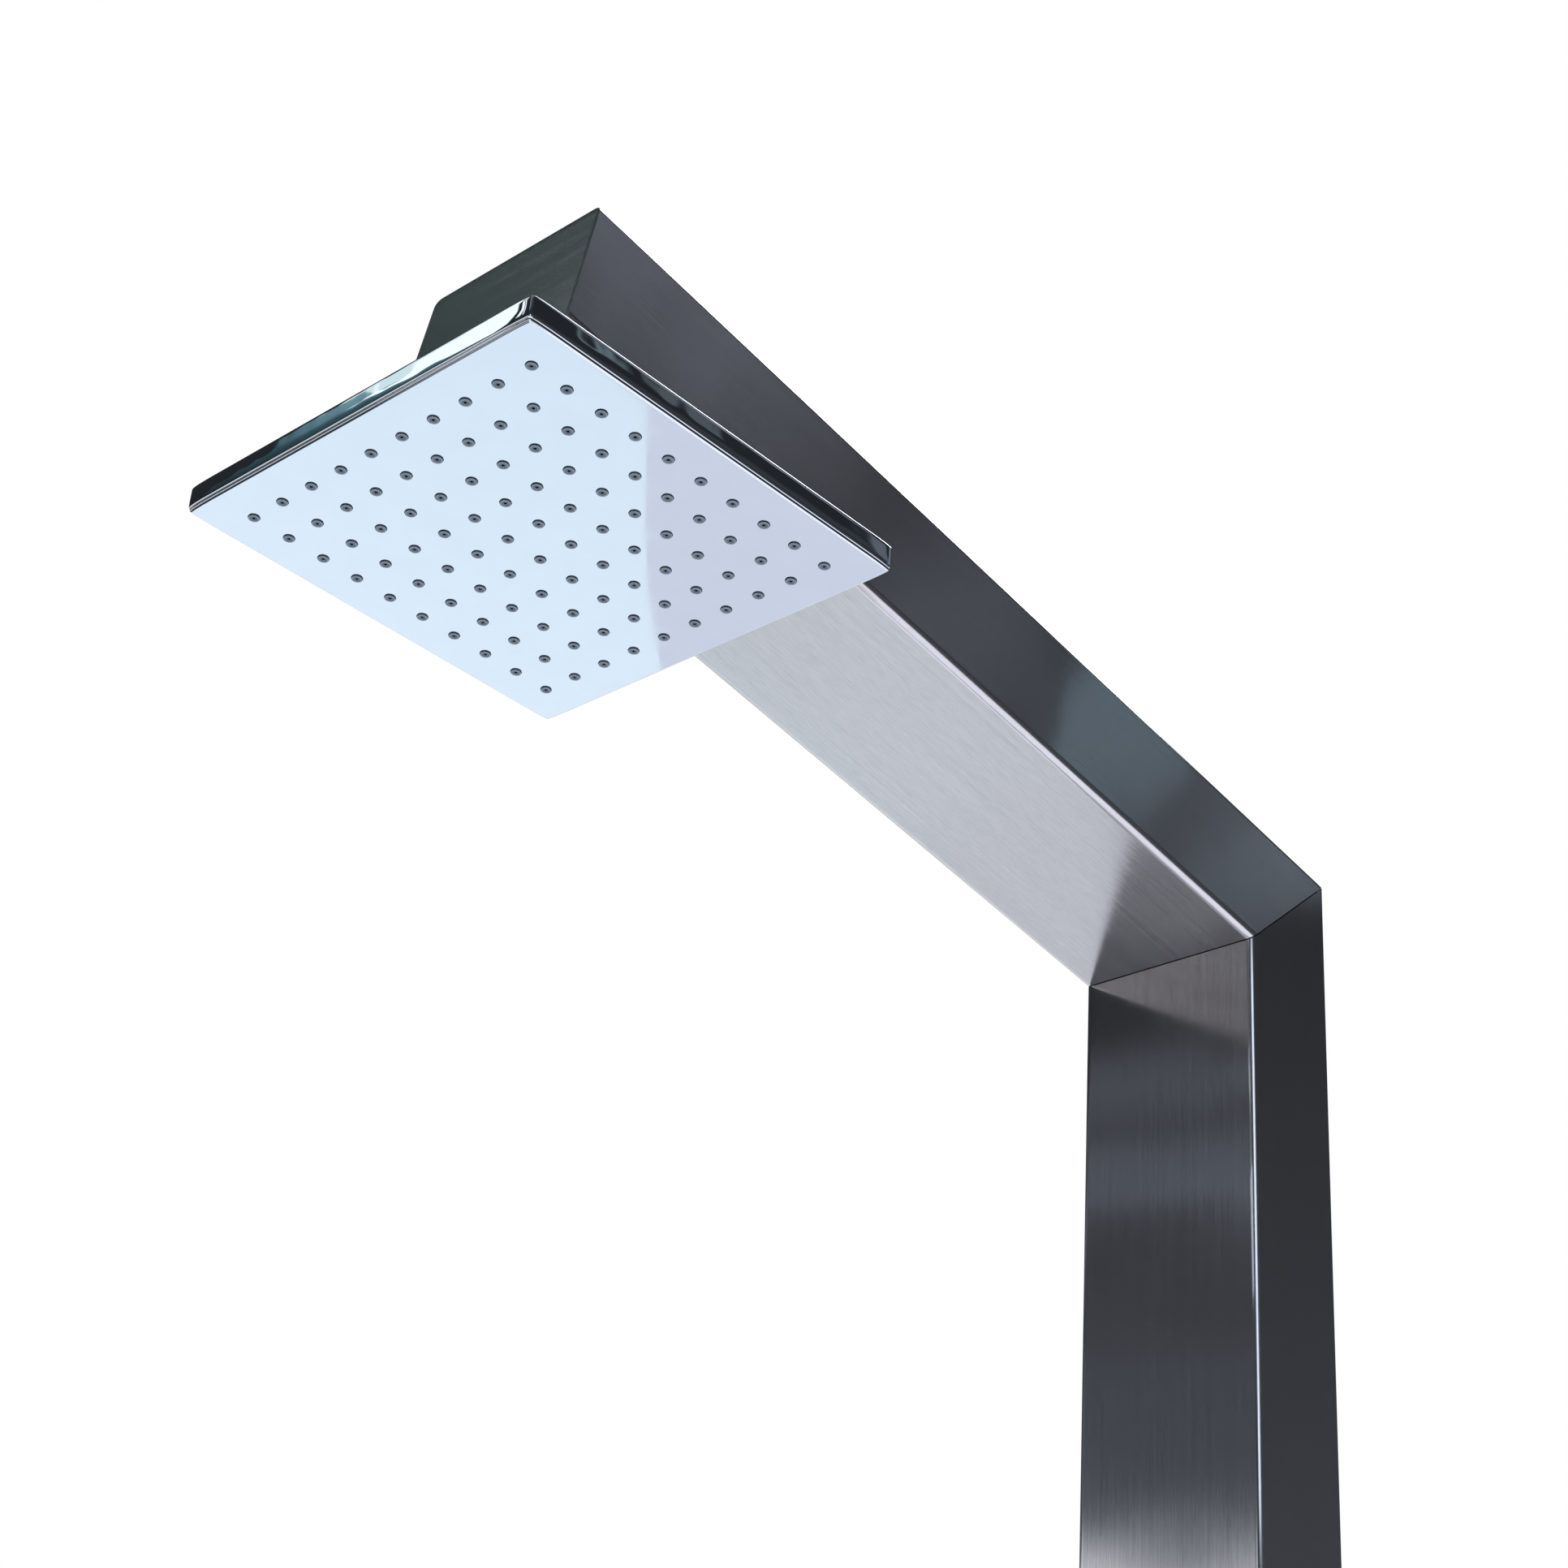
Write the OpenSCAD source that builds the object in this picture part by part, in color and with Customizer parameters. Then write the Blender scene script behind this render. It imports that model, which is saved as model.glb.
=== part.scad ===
// Outdoor shower: a floor-standing column of rectangular stainless tube with a mitred knee, a rising arm,
// a square rain head on a ball joint and a single-lever mixer. The supply and riser hoses run inside.
// Millimetres, +Z up. The origin is on the floor, under the centre of the column; the arm reaches along -Y.

/* [Column and arm tube] */
// Width of the tube, across X
tube_w = 100; // [90:1:120]
// Depth of the tube, front to back
tube_d = 65; // [60:1:80]
// Outside corner radius of the tube
tube_r = 4; // [3:0.5:6]
// Wall of the tube
tube_wall = 2; // [1.5:0.25:2.5]
// Height of the knee's inner corner above the floor
knee_z = 2100; // [1900:10:2300]

/* [Arm] */
// Rise of the arm above the horizontal, in degrees
arm_rise = 9; // [5:0.5:14]
// Length of the arm's underside, from the knee's inner corner to its end
arm_len = 476; // [450:1:520]
// Thickness of the cap let into the arm's end
end_cap_t = 3; // [2:0.5:5]

/* [Knee] */
// Gap between the two mitred tube ends
knee_gap = 0.6; // [0.4:0.1:2]
// Length of each leg of the joiner inside the knee, from the inner corner
joiner_leg = 60; // [40:1:100]
// Wall of the joiner and of the foot sleeve
liner_wall = 3; // [2.5:0.5:4]
// Clearance between a liner and the tube around it
liner_clear = 0.3; // [0.2:0.05:0.5]
// Distance of the knee screws from the inner corner, measured along each tube
knee_screw_at = 12; // [6:1:30]

/* [Foot] */
// Side of the square base plate
base_w = 260; // [240:5:320]
// Thickness of the base plate
base_t = 10; // [8:1:16]
// Corner radius of the base plate
base_r = 12; // [5:1:30]
// Bevel round the top of the base plate
base_bevel = 1.5; // [0.5:0.5:3]
// Distance between anchor holes, along X and Y
anchor_pitch = 200; // [180:5:220]
// Diameter of the anchor holes
anchor_d = 13; // [10:0.5:16]
// Width of the pipe opening in the base plate, along X
entry_w = 76; // [66:1:78]
// Depth of the pipe opening, along Y
entry_d = 40; // [30:1:42]
// Corner radius of the pipe opening
entry_r = 10; // [3:1:14]
// Height of the sleeve inside the foot of the column
sleeve_h = 110; // [80:5:160]
// Height of the foot screws above the base plate
foot_screw_at = 70; // [40:1:75]

/* [Tube screws] */
// Thread diameter of the button-head screws
screw_d = 6; // [5:0.5:8]
// Head diameter of the screws
screw_head_d = 10.5; // [9:0.5:14]
// Head height of the screws
screw_head_h = 3.3; // [2.5:0.1:4]
// Length of the screws under the head
screw_len = 12; // [9:1:16]
// Hexagon socket across flats
screw_key = 4; // [3:0.5:5]
// Distance between the two screws of a pair
screw_pitch = 50; // [30:1:60]

/* [Shower head] */
// Side of the square head
head_w = 200; // [180:5:250]
// Thickness of the head
head_t = 12; // [10:0.5:20]
// Corner radius of the head in plan
head_r = 1.5; // [1.2:0.1:6]
// Bevel along the head's upper and lower edges
head_bevel = 0.7; // [0.3:0.1:1]
// Distance from the column's front face to the head's centre
head_reach = 428; // [400:1:440]
// Height of the spray face above the knee's inner corner
face_rise = 13; // [5:0.5:16]
// Thickness of the face plate
face_t = 2; // [1.5:0.25:4]
// Thickness of the shell's top
shell_top = 1.5; // [1:0.25:3]
// Thickness of the shell's side walls
shell_side = 2; // [1.5:0.25:4]
// Seam between the shell and the face plate
seam = 0.15; // [0.1:0.05:0.3]
// Width of the gasket between the shell and the face plate
gasket_w = 4; // [3:0.5:8]
// Height of the gasket, over the face plate
gasket_h = 3; // [2:0.5:5]

/* [Spray nozzles] */
// Nozzles along each side
nozzle_n = 10; // [6:1:11]
// Distance from the head's edge to the outer nozzles
nozzle_margin = 19.6; // [16:0.2:30]
// Diameter of the holes in the face plate
nozzle_hole_d = 5.25; // [5:0.25:7]
// Clearance round a nozzle in its hole
nozzle_clear = 0.1; // [0.05:0.05:0.3]
// Height of the nozzle tips outside the face
nozzle_out = 0.9; // [0.4:0.1:2]
// Diameter of each jet
jet_d = 1.3; // [0.8:0.1:2]
// Diameter of the dish round each jet
dish_d = 3.4; // [2.5:0.1:4]
// Depth of the dish
dish_h = 0.25; // [0.1:0.05:0.4]
// Thickness of the nozzle mat
mat_t = 1.6; // [1:0.2:3]
// Gap between the mat and the gasket round it
mat_gap = 0.5; // [0.3:0.1:2]

/* [Ball joint] */
// Diameter of the ball
ball_d = 20; // [19.5:0.1:20.5]
// Height of the ball's centre above the head's top
ball_rise = 18; // [17.5:0.1:18.5]
// Diameter of the stem above the ball
ball_stem_d = 10; // [9:0.25:10]
// Water channel through the ball
ball_bore = 7; // [5:0.5:7.5]
// Thickness of the plastic seats
seat_t = 1.45; // [1.3:0.05:1.5]
// Running clearance on each side of a seat
seat_clear = 0.05; // [0.02:0.01:0.08]
// Height of the upper seat's top edge above the ball's centre
seat_top = 6.8; // [6.7:0.1:7]
// Height of the upper seat's lower edge above the ball's centre
seat_low = 2; // [1.9:0.1:2.4]
// Depth of the lower seat's bottom edge under the ball's centre
seat_bottom = 8.2; // [7.5:0.1:8.6]
// Outside diameter of the ball nut
ball_nut_d = 32; // [31:0.5:34]
// Height of the ball nut above the ball's centre
ball_nut_top = 8; // [7.8:0.1:8.2]
// Depth of the ball nut under the ball's centre
ball_nut_low = 13; // [10:0.5:14]
// Thread diameter of the neck under the ball nut
neck_d = 27; // [26.5:0.25:28]
// Diameter of the neck's flange on the head
neck_flange_d = 38; // [34:1:50]
// Thickness of the neck's flange
neck_flange_t = 2; // [1.5:0.25:3]
// Grip grooves round the ball nut
grip_n = 12; // [8:1:14]

/* [Arm outlet] */
// Outside diameter of the half-inch threads
thread_d = 20.9; // [20.6:0.1:21.1]
// Radial clearance in a thread
thread_clear = 0.05; // [0.02:0.01:0.1]
// Waterway through the nipple and the elbow
nipple_bore = 13; // [10:0.5:14]
// Diameter of the nipple's flange
flange_d = 32; // [30:1:44]
// Thickness of the nipple's flange
flange_t = 3; // [2.5:0.25:3.5]
// Thickness of the rubber ring between the flange and the arm
flange_seal_t = 1; // [0.8:0.1:1.2]
// Height of the hexagon over the ball's stem
ball_hex_h = 7; // [6.5:0.1:7.2]
// Hexagon of the ball fitting, across flats
ball_hex = 26; // [25:0.5:27]
// Locknut inside the arm, across flats
locknut = 30; // [27:1:32]
// Height of the locknut
locknut_h = 6; // [5:0.5:7]
// Thickness of the washer under the locknut
washer_t = 1.5; // [1:0.25:2.5]

/* [Hoses] */
// Outside diameter of the braided hoses
hose_d = 13; // [12:0.5:15]
// Bore of the hoses
hose_bore = 8; // [6:0.5:9]
// Union nuts, across flats
union_af = 24; // [23.5:0.5:26]
// Length of thread inside a union nut
union_grip = 9; // [7:0.5:11]
// Length of the crimped ferrules
ferrule_len = 22; // [16:1:30]
// Wall of the crimped ferrules
ferrule_wall = 1; // [0.75:0.25:1.5]
// Thickness of the sealing washers
seal_t = 1.5; // [1:0.25:2.5]
// Distance between the hot and the cold hose
supply_pitch = 40; // [34:1:44]
// Height of the supply connections above the floor
supply_z = 62; // [50:1:80]
// Bend radius of the riser's centre line in the knee
riser_bend = 60; // [50:1:70]

/* [Mixer] */
// Height of the mixer's axis above the floor
mixer_z = 1100; // [950:10:1250]
// Side of the square wall plate
rose_w = 84; // [76:1:90]
// Height of the wall plate over the column's face
rose_h = 8; // [7:0.5:12]
// Corner radius of the wall plate
rose_r = 3; // [1.5:0.5:10]
// Bevel round the wall plate
rose_bevel = 1; // [0.5:0.25:2]
// Diameter of the valve's barrel
barrel_d = 42.6; // [42:0.2:43]
// Depth of the valve's back behind the column's face
barrel_back = 46; // [44:1:52]
// Diameter of the flange behind the column's front wall
barrel_flange_d = 54; // [50:1:60]
// Length of the inlet and outlet stubs from the mixer's axis
stub_len = 48; // [44:1:60]
// Diameter of the ring that clamps the valve
clamp_ring_d = 60; // [54:1:64]
// Thickness of the clamping ring
clamp_ring_t = 4; // [3:0.5:5]
// Thickness of the foam gasket behind the wall plate
foam_t = 1; // [0.5:0.25:2]

/* [Cartridge] */
// Outside diameter of the cartridge
cartridge_d = 35.4; // [35:0.1:35.6]
// Wall of the cartridge
cartridge_wall = 2.2; // [1.8:0.1:2.4]
// Height of the cartridge's floor over the column's face
cartridge_z = 1; // [0:0.5:3]
// Distance from the cartridge's floor to the lever's pivot
pivot_h = 23; // [22.5:0.25:23.5]
// Distance from the pivot to the ball end that moves the ceramic disc
crank = 7; // [6.5:0.25:7.5]
// Thickness of the ceramic discs
disc_t = 4; // [3.5:0.1:4]
// Diameter of the moving disc
disc_d = 23; // [21:0.5:23.5]
// Waterways through the discs
port_d = 6; // [5:0.5:6.5]
// Width of the square stem
stem_w = 7; // [6:0.25:7.25]
// Diameter of the pivot pin
pin_d = 3; // [2.5:0.25:3.5]
// Running clearance of the cartridge's moving pieces
run_clear = 0.3; // [0.2:0.05:0.35]

/* [Lever] */
// Outside radius of the dome round the pivot
dome_r = 24.4; // [24.2:0.1:25]
// Wall of the dome and its skirt
dome_wall = 1.2; // [1:0.1:1.4]
// Gap between the dome and the lever's cap
cap_gap = 0.5; // [0.3:0.1:0.8]
// Outside diameter of the lever's cap
cap_d = 56; // [55:0.5:62]
// Height of the cap's front over the pivot
cap_top = 34; // [32:0.5:40]
// Half angle that the cap covers, in degrees
cap_angle = 69; // [68.5:0.5:72]
// Half angle of the dome's opening, in degrees
dome_angle = 43; // [42:0.5:43.5]
// Length of the lever from the mixer's axis
lever_len = 98; // [70:1:140]
// Width of the lever's blade
lever_w = 16; // [12:0.5:20]
// Thickness of the lever's blade
lever_t = 7; // [5:0.25:8]
// Lean of the blade away from the column, in degrees
lever_lean = 6; // [0:0.5:10]
// Diameter of the grub screw in the cap
grub_d = 5; // [4:0.5:6]

/* [Hidden] */
$fn = 64;
// Overlap that keeps cuts clean
eps = 0.01;
// Side of the blocks that trim at a plane
far = 3000;
// Length of cuts that run out of a small piece
deep = 60;
// Facets on the corners of bevelled slabs
bevel_fn = 32;
// Thin layer used as a bevelled slab's edge
film = 0.01;

// Half of the angle between the column and the arm, from the horizontal
mitre_a = (90 - arm_rise) / 2;
liner_w = tube_w - 2 * tube_wall - 2 * liner_clear;
liner_d = tube_d - 2 * tube_wall - 2 * liner_clear;
bore_w = tube_w - 2 * tube_wall;
bore_d = tube_d - 2 * tube_wall;
bore_r = max(tube_r - tube_wall, 0.5);
liner_r = max(bore_r - liner_clear, 0.4);
liner_in_r = 0.5;
screw_clear = 0.1;
// The joiner's square edges stay clear of the round corners in the tube's bore
joiner_w = bore_w - 1.4 * bore_r;
screw_hole_d = screw_d + 2 * screw_clear;
front_y = -tube_d / 2;

ball_r = ball_d / 2;
seat_r_in = ball_r + seat_clear;
seat_r_out = seat_r_in + seat_t;
socket_r = seat_r_out + seat_clear;
face_z = knee_z + face_rise;
ball_y = -head_reach;
ball_z = face_rise + head_t + ball_rise;
// The nipple stands square to the arm, on the line through the ball's centre
nipple_y = ball_y * cos(arm_rise) - ball_z * sin(arm_rise);
ball_drop = -(ball_y * sin(arm_rise) + ball_z * cos(arm_rise));
// Metal under the nipple in the ball fitting's hexagon
hex_floor = 2.5;
// Gap at the end of a thread or a pocket
end_gap = 0.2;
nipple_low = flange_seal_t + flange_t + ball_hex_h - hex_floor;
// The elbow sits over the locknut and is screwed on to the nipple
elbow_low = tube_wall + washer_t + locknut_h + 0.5;
elbow_grip = 11.5;
nipple_up = elbow_low + elbow_grip;
elbow_wall = 4;
elbow_socket_wall = 2.5;
elbow_reach = 38;
elbow_hex_at = 14;
elbow_hex_h = 6;
// How far a nut's turned corners stand out past its flats
turned_edge = 0.3;
nipple_r = thread_d / 2;
tapped_r = nipple_r + thread_clear;

nozzle_pitch = (head_w - 2 * nozzle_margin) / (nozzle_n - 1);
nozzle_d = nozzle_hole_d - 2 * nozzle_clear;
cavity_w = head_w - 2 * shell_side;
mat_w = cavity_w - 2 * gasket_w - 2 * mat_gap;
gasket_clear = 0.1;

hose_clear = 0.05;
ferrule_r = hose_d / 2 + hose_clear + ferrule_wall;
tail_flange_t = 2;
tail_start = seal_t + tail_flange_t + 1;
union_lip = 3;
thread_relief = 0.2;
// How much smaller a hose's seal and flange are than the thread round them
hose_end_inset = 0.3;
// Sides of the riser's round, and rings in its bend
riser_sides = 16;
riser_steps = 12;

pivot_z = cartridge_z + pivot_h;
cart_r = cartridge_d / 2;
cart_in_r = cart_r - cartridge_wall;
rotor_r = cart_in_r - run_clear;
// The rotor turns under a ledge of the housing: its underside, its step and the ledge
rotor_low = pivot_h - 6;
rotor_step = pivot_h + 1.5;
ledge_low = rotor_step + 0.5;
ledge_t = 2;
neck_out_r = cart_r - 3.2;
neck_in_r = neck_out_r - 2.5;
rotor_neck_r = neck_in_r - run_clear;
cart_top = pivot_h + 8;
base_disc_t = 4;
disc_gap = 0.1;
// Height and width of the seals under the waterways
seal_h = 1.4;
seal_w = 1.6;
barrel_r = barrel_d / 2;
barrel_flange_t = 4;
// Wall of the valve's inlet and outlet stubs
stub_wall = 4;
barrel_end = cartridge_z + pivot_h + 8;
cart_nut_r = barrel_r - 2.3;
clamp_slot_d = 5;
// Room round the clamping ring, in the foam and in the wall plate
clamp_room = 0.5;
hose_plane = -tube_d / 2;
port_at = 7.5;
// Place and diameter of the recess that mixes the water in the moving disc
mixing_at = 1;
mixing_d = 13.8;
// Half length of the rotor's slot for the stem
slot_half_y = 8;
// Radius of the ball end on the lever's stem
stem_ball_r = 2.9;
stem_neck_r = 2.2;
// Height, over the ball's centre, at which the nut's round socket meets its thread
socket_split = -1;
// Spigot of the neck in the shell's top
spigot_d = neck_d - 7;
// Radius of the filter and the regulator in the neck, and their heights
insert_r = 5.6;
insert_low = 2;
insert_clear = 0.1;
regulator_h = 3;
filter_h = 0.8;
dome_in_r = dome_r - dome_wall;
cap_in_r = dome_r + cap_gap;
cap_low = cap_in_r * cos(cap_angle);
stem_top = cap_top - 3;
hub_r = 6.5;
hub_low = 17;
blade_root = cap_d * 0.4;
cap_bevel = 2;
// Fit of the stem in the handle, and the plug's pocket in front of the grub screw
stem_fit = 0.1;
grub_len = 7;
plug_d = grub_d + 1.4;
plug_h = 3.4;
pocket_h = 4;
blade_z = cap_top - 9;
grub_z = cap_top - 6;

steel = "#b4b7bb";
dark_steel = "#7d8187";
chrome = "#dfe5ea";
brass = "#c8a24a";
rubber = "#2b2b2d";
silicone = "#6c747e";
white_plastic = "#e4e4e0";
ceramic = "#f3efe6";
braid = "#9ba0a6";

// Outlines and simple solids

module round_rect(w, d, r) {
    square([w - 2 * r, d], center = true);
    square([w, d - 2 * r], center = true);
    for (x = [-1, 1], y = [-1, 1])
        translate([x * (w / 2 - r), y * (d / 2 - r)]) circle(r = r);
}

module block(w, d, h, r) {
    linear_extrude(h) round_rect(w, d, r);
}

// A slab with bevelled edges: low and high are the bevels at its bottom and its top
module bevel_slab(w, d, h, r, low, high) {
    hull() {
        block(w - 2 * low, d - 2 * low, film, r - low / 2, $fn = bevel_fn);
        translate([0, 0, low]) block(w, d, h - low - high, r, $fn = bevel_fn);
        translate([0, 0, h - film]) block(w - 2 * high, d - 2 * high, film, r - high / 2, $fn = bevel_fn);
    }
}

module hex_bar(af, h) {
    cylinder(d = af / cos(30), h = h, $fn = 6);
}

module ring(r_out, r_in, h) {
    difference() {
        cylinder(r = r_out, h = h);
        translate([0, 0, -1]) cylinder(r = r_in, h = h + 2);
    }
}

// A hexagon nut with its corners turned off
module hex_nut(af, h, r_in) {
    turned_r = af / 2 + turned_edge;
    difference() {
        intersection() {
            hex_bar(af, h);
            cylinder(r1 = turned_r, r2 = turned_r + h, h = h);
            cylinder(r1 = turned_r + h, r2 = turned_r, h = h);
        }
        translate([0, 0, -1]) cylinder(r = r_in, h = h + 2);
    }
}

// Frames of the arm, the head, the ball joint and the mixer

// The arm runs along -Y from the knee's inner corner, and its underside is at z = 0
module arm_frame() {
    translate([0, front_y, knee_z]) rotate([-arm_rise, 0, 0]) children();
}

// +Z is square to the arm, up through its underside, at the nipple's centre
module nipple_frame() {
    arm_frame() translate([0, nipple_y, 0]) children();
}

// The spray face is at z = 0
module head_frame() {
    translate([0, front_y - head_reach, face_z]) children();
}

module ball_frame() {
    head_frame() translate([0, 0, head_t + ball_rise]) children();
}

// +Z leaves the column's front face and +Y is up
module mixer_frame() {
    translate([0, front_y, mixer_z]) rotate([90, 0, 0]) children();
}

module cartridge_frame() {
    mixer_frame() translate([0, 0, cartridge_z]) children();
}

module pivot_frame() {
    mixer_frame() translate([0, 0, pivot_z]) children();
}

// Everything past the mitre plane: side 1 is the arm's side, side -1 the column's
module past_mitre(side, gap) {
    translate([0, front_y, knee_z]) rotate([mitre_a, 0, 0])
        translate([-far / 2, -far / 2, side > 0 ? gap / 2 : -gap / 2 - far]) cube(far);
}

// A round-cornered bar along the column, from z0 up past the knee
module column_bar(w, d, r, z0) {
    translate([0, 0, z0]) block(w, d, knee_z + tube_d * 1.5 - z0, r);
}

// The same along the arm, from its far end at y = -len back past the knee
module arm_bar(w, d, r, len) {
    arm_frame() translate([0, -len, tube_d / 2]) rotate([-90, 0, 0]) block(w, d, len + tube_d * 1.5, r);
}

// Foot

module base_plate() {
    color(steel) difference() {
        bevel_slab(base_w, base_w, base_t, base_r, film, base_bevel);
        translate([0, 0, -1]) block(entry_w, entry_d, base_t + 2, entry_r);
        for (x = [-1, 1], y = [-1, 1])
            translate([x * anchor_pitch / 2, y * anchor_pitch / 2, -1]) cylinder(d = anchor_d, h = base_t + 2);
    }
}

module back_screw_holes(z) {
    for (x = [-1, 1])
        translate([x * screw_pitch / 2, 0, z]) rotate([-90, 0, 0]) cylinder(d = screw_hole_d, h = tube_d);
}

module foot_sleeve() {
    color(dark_steel) difference() {
        translate([0, 0, base_t]) block(liner_w, liner_d, sleeve_h, liner_r);
        translate([0, 0, base_t - 1])
            block(liner_w - 2 * liner_wall, liner_d - 2 * liner_wall, sleeve_h + 2, liner_in_r);
        back_screw_holes(base_t + foot_screw_at);
    }
}

// A button-head screw along -Z with its head on z = 0
module button_screw() {
    button_r = screw_head_d * 0.8;
    difference() {
        union() {
            intersection() {
                cylinder(d = screw_head_d, h = screw_head_h);
                translate([0, 0, screw_head_h - button_r]) sphere(r = button_r);
            }
            translate([0, 0, -screw_len]) cylinder(d = screw_d, h = screw_len + eps);
        }
        translate([0, 0, screw_head_h - screw_key / 2]) hex_bar(screw_key, screw_key);
    }
}

module foot_screws() {
    color(dark_steel) for (x = [-1, 1])
        translate([x * screw_pitch / 2, tube_d / 2, base_t + foot_screw_at]) rotate([-90, 0, 0]) button_screw();
}

// Column, knee and arm

module column_tube() {
    color(steel) difference() {
        column_bar(tube_w, tube_d, tube_r, base_t);
        column_bar(bore_w, bore_d, bore_r, base_t - 1);
        past_mitre(1, -knee_gap);
        back_screw_holes(base_t + foot_screw_at);
        back_screw_holes(knee_z + knee_screw_at);
        mixer_frame() translate([0, 0, -tube_wall * 2]) cylinder(r = barrel_r + run_clear, h = tube_wall * 3);
    }
}

// Holes through the arm's top wall for the knee screws
module arm_screw_holes() {
    arm_frame() for (x = [-1, 1])
        translate([x * screw_pitch / 2, knee_screw_at, tube_d / 2]) cylinder(d = screw_hole_d, h = tube_d);
}

module arm_tube() {
    color(steel) difference() {
        arm_bar(tube_w, tube_d, tube_r, arm_len);
        arm_bar(bore_w, bore_d, bore_r, arm_len + 1);
        past_mitre(-1, -knee_gap);
        arm_screw_holes();
        nipple_frame() translate([0, 0, -1]) cylinder(r = nipple_r + end_gap, h = tube_wall + 2);
    }
}

module arm_end_cap() {
    color(steel) arm_frame() translate([0, -arm_len, tube_d / 2]) rotate([-90, 0, 0])
        block(bore_w, bore_d, end_cap_t, bore_r);
}

// The knee's outline in the Y-Z plane, set in from the tube's outside, with two legs from the inner corner
function knee_profile(inset, leg) = let (top = tube_d - inset, c = cos(arm_rise), k = sin(arm_rise)) [
    [front_y + inset, knee_z - leg],
    [front_y + top, knee_z - leg],
    [front_y + top, knee_z + top * tan(mitre_a)],
    [front_y - leg * c + top * k, knee_z + leg * k + top * c],
    [front_y - leg * c + inset * k, knee_z + leg * k + inset * c],
    [front_y + inset, knee_z + inset * tan(mitre_a)]];

module knee_bar(w, inset, leg) {
    translate([-w / 2, 0, 0]) rotate([90, 0, 90]) linear_extrude(w) polygon(knee_profile(inset, leg));
}

module knee_joiner() {
    inset = tube_wall + liner_clear;
    color(dark_steel) difference() {
        knee_bar(joiner_w, inset, joiner_leg);
        knee_bar(joiner_w - 2 * liner_wall, inset + liner_wall, joiner_leg + 1);
        back_screw_holes(knee_z + knee_screw_at);
        arm_screw_holes();
    }
}

module knee_screws() {
    color(dark_steel) for (x = [-1, 1]) {
        translate([x * screw_pitch / 2, tube_d / 2, knee_z + knee_screw_at]) rotate([-90, 0, 0]) button_screw();
        arm_frame() translate([x * screw_pitch / 2, knee_screw_at, tube_d]) button_screw();
    }
}

// Mixer: valve body and trim

// Direction and place of the stubs, in the mixer frame: the inlets point down and the outlet up
module inlet_frames() {
    for (x = [-1, 1]) translate([x * supply_pitch / 2, 0, hose_plane]) rotate([90, 0, 0]) children();
}

module outlet_frame() {
    translate([0, 0, hose_plane]) rotate([-90, 0, 0]) children();
}

// The three waterways: two from the inlets and one to the outlet
module port_places() {
    for (a = [210, 330, 90]) rotate([0, 0, a]) translate([port_at, 0, 0]) children();
}

module valve_body() {
    stub_bore = thread_d - 2 * stub_wall;
    body_h = barrel_back - tube_wall - barrel_flange_t;
    color(brass) mixer_frame() difference() {
        union() {
            translate([0, 0, -barrel_back]) cylinder(r = barrel_r, h = barrel_back + barrel_end);
            translate([0, 0, -tube_wall - barrel_flange_t]) cylinder(d = barrel_flange_d, h = barrel_flange_t);
            translate([0, 0, -barrel_back]) block(supply_pitch + thread_d, barrel_d * 0.8, body_h, stub_wall);
            inlet_frames() cylinder(r = nipple_r, h = stub_len);
            outlet_frame() cylinder(r = nipple_r, h = stub_len);
        }
        translate([0, 0, cartridge_z]) cylinder(r = cart_r + run_clear, h = deep);
        translate([0, 0, cartridge_z + ledge_low + ledge_t]) cylinder(r = cart_nut_r + thread_clear, h = deep);
        inlet_frames() translate([0, 0, -stub_wall]) cylinder(d = stub_bore, h = deep);
        outlet_frame() translate([0, 0, stub_wall]) cylinder(d = stub_bore, h = deep);
        port_places() translate([0, 0, hose_plane]) cylinder(d = port_d, h = deep);
    }
}

module clamp_ring() {
    color(brass) mixer_frame() difference() {
        cylinder(d = clamp_ring_d, h = clamp_ring_t);
        translate([0, 0, -1]) cylinder(r = barrel_r + thread_clear, h = clamp_ring_t + 2);
        for (a = [0:90:270]) rotate([0, 0, a])
            translate([clamp_ring_d / 2, 0, -1]) cylinder(d = clamp_slot_d, h = clamp_ring_t + 2);
    }
}

module foam_gasket() {
    color(rubber) mixer_frame() difference() {
        block(rose_w - 4 * clamp_room, rose_w - 4 * clamp_room, foam_t, rose_r);
        translate([0, 0, -1]) cylinder(d = clamp_ring_d + 2 * clamp_room, h = foam_t + 2);
    }
}

module wall_plate() {
    color(chrome) mixer_frame() difference() {
        translate([0, 0, foam_t]) bevel_slab(rose_w, rose_w, rose_h - foam_t, rose_r, film, rose_bevel);
        cylinder(d = clamp_ring_d + 2 * clamp_room, h = clamp_ring_t + clamp_room);
        cylinder(r = barrel_r + run_clear, h = rose_h + 1);
    }
}

// A skirt round the barrel that ends in a dome round the lever's pivot
module dome_cover() {
    open_r = dome_r * sin(dome_angle);
    color(chrome) mixer_frame() difference() {
        union() {
            translate([0, 0, rose_h]) cylinder(r = dome_r, h = pivot_z - rose_h);
            translate([0, 0, pivot_z]) sphere(r = dome_r);
        }
        translate([0, 0, rose_h - 1]) cylinder(r = dome_in_r, h = pivot_z - rose_h + 1);
        translate([0, 0, pivot_z]) sphere(r = dome_in_r);
        translate([0, 0, pivot_z]) cylinder(r = open_r, h = dome_r + 1);
        translate([0, 0, rose_h - dome_r * 2]) cylinder(r = dome_r + 1, h = dome_r * 2);
    }
}

// Mixer: cartridge, in a frame whose floor is at z = 0

module port_seals() {
    color(rubber) cartridge_frame() port_places() ring(port_d / 2 + seal_w, port_d / 2, seal_h);
}

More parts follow.
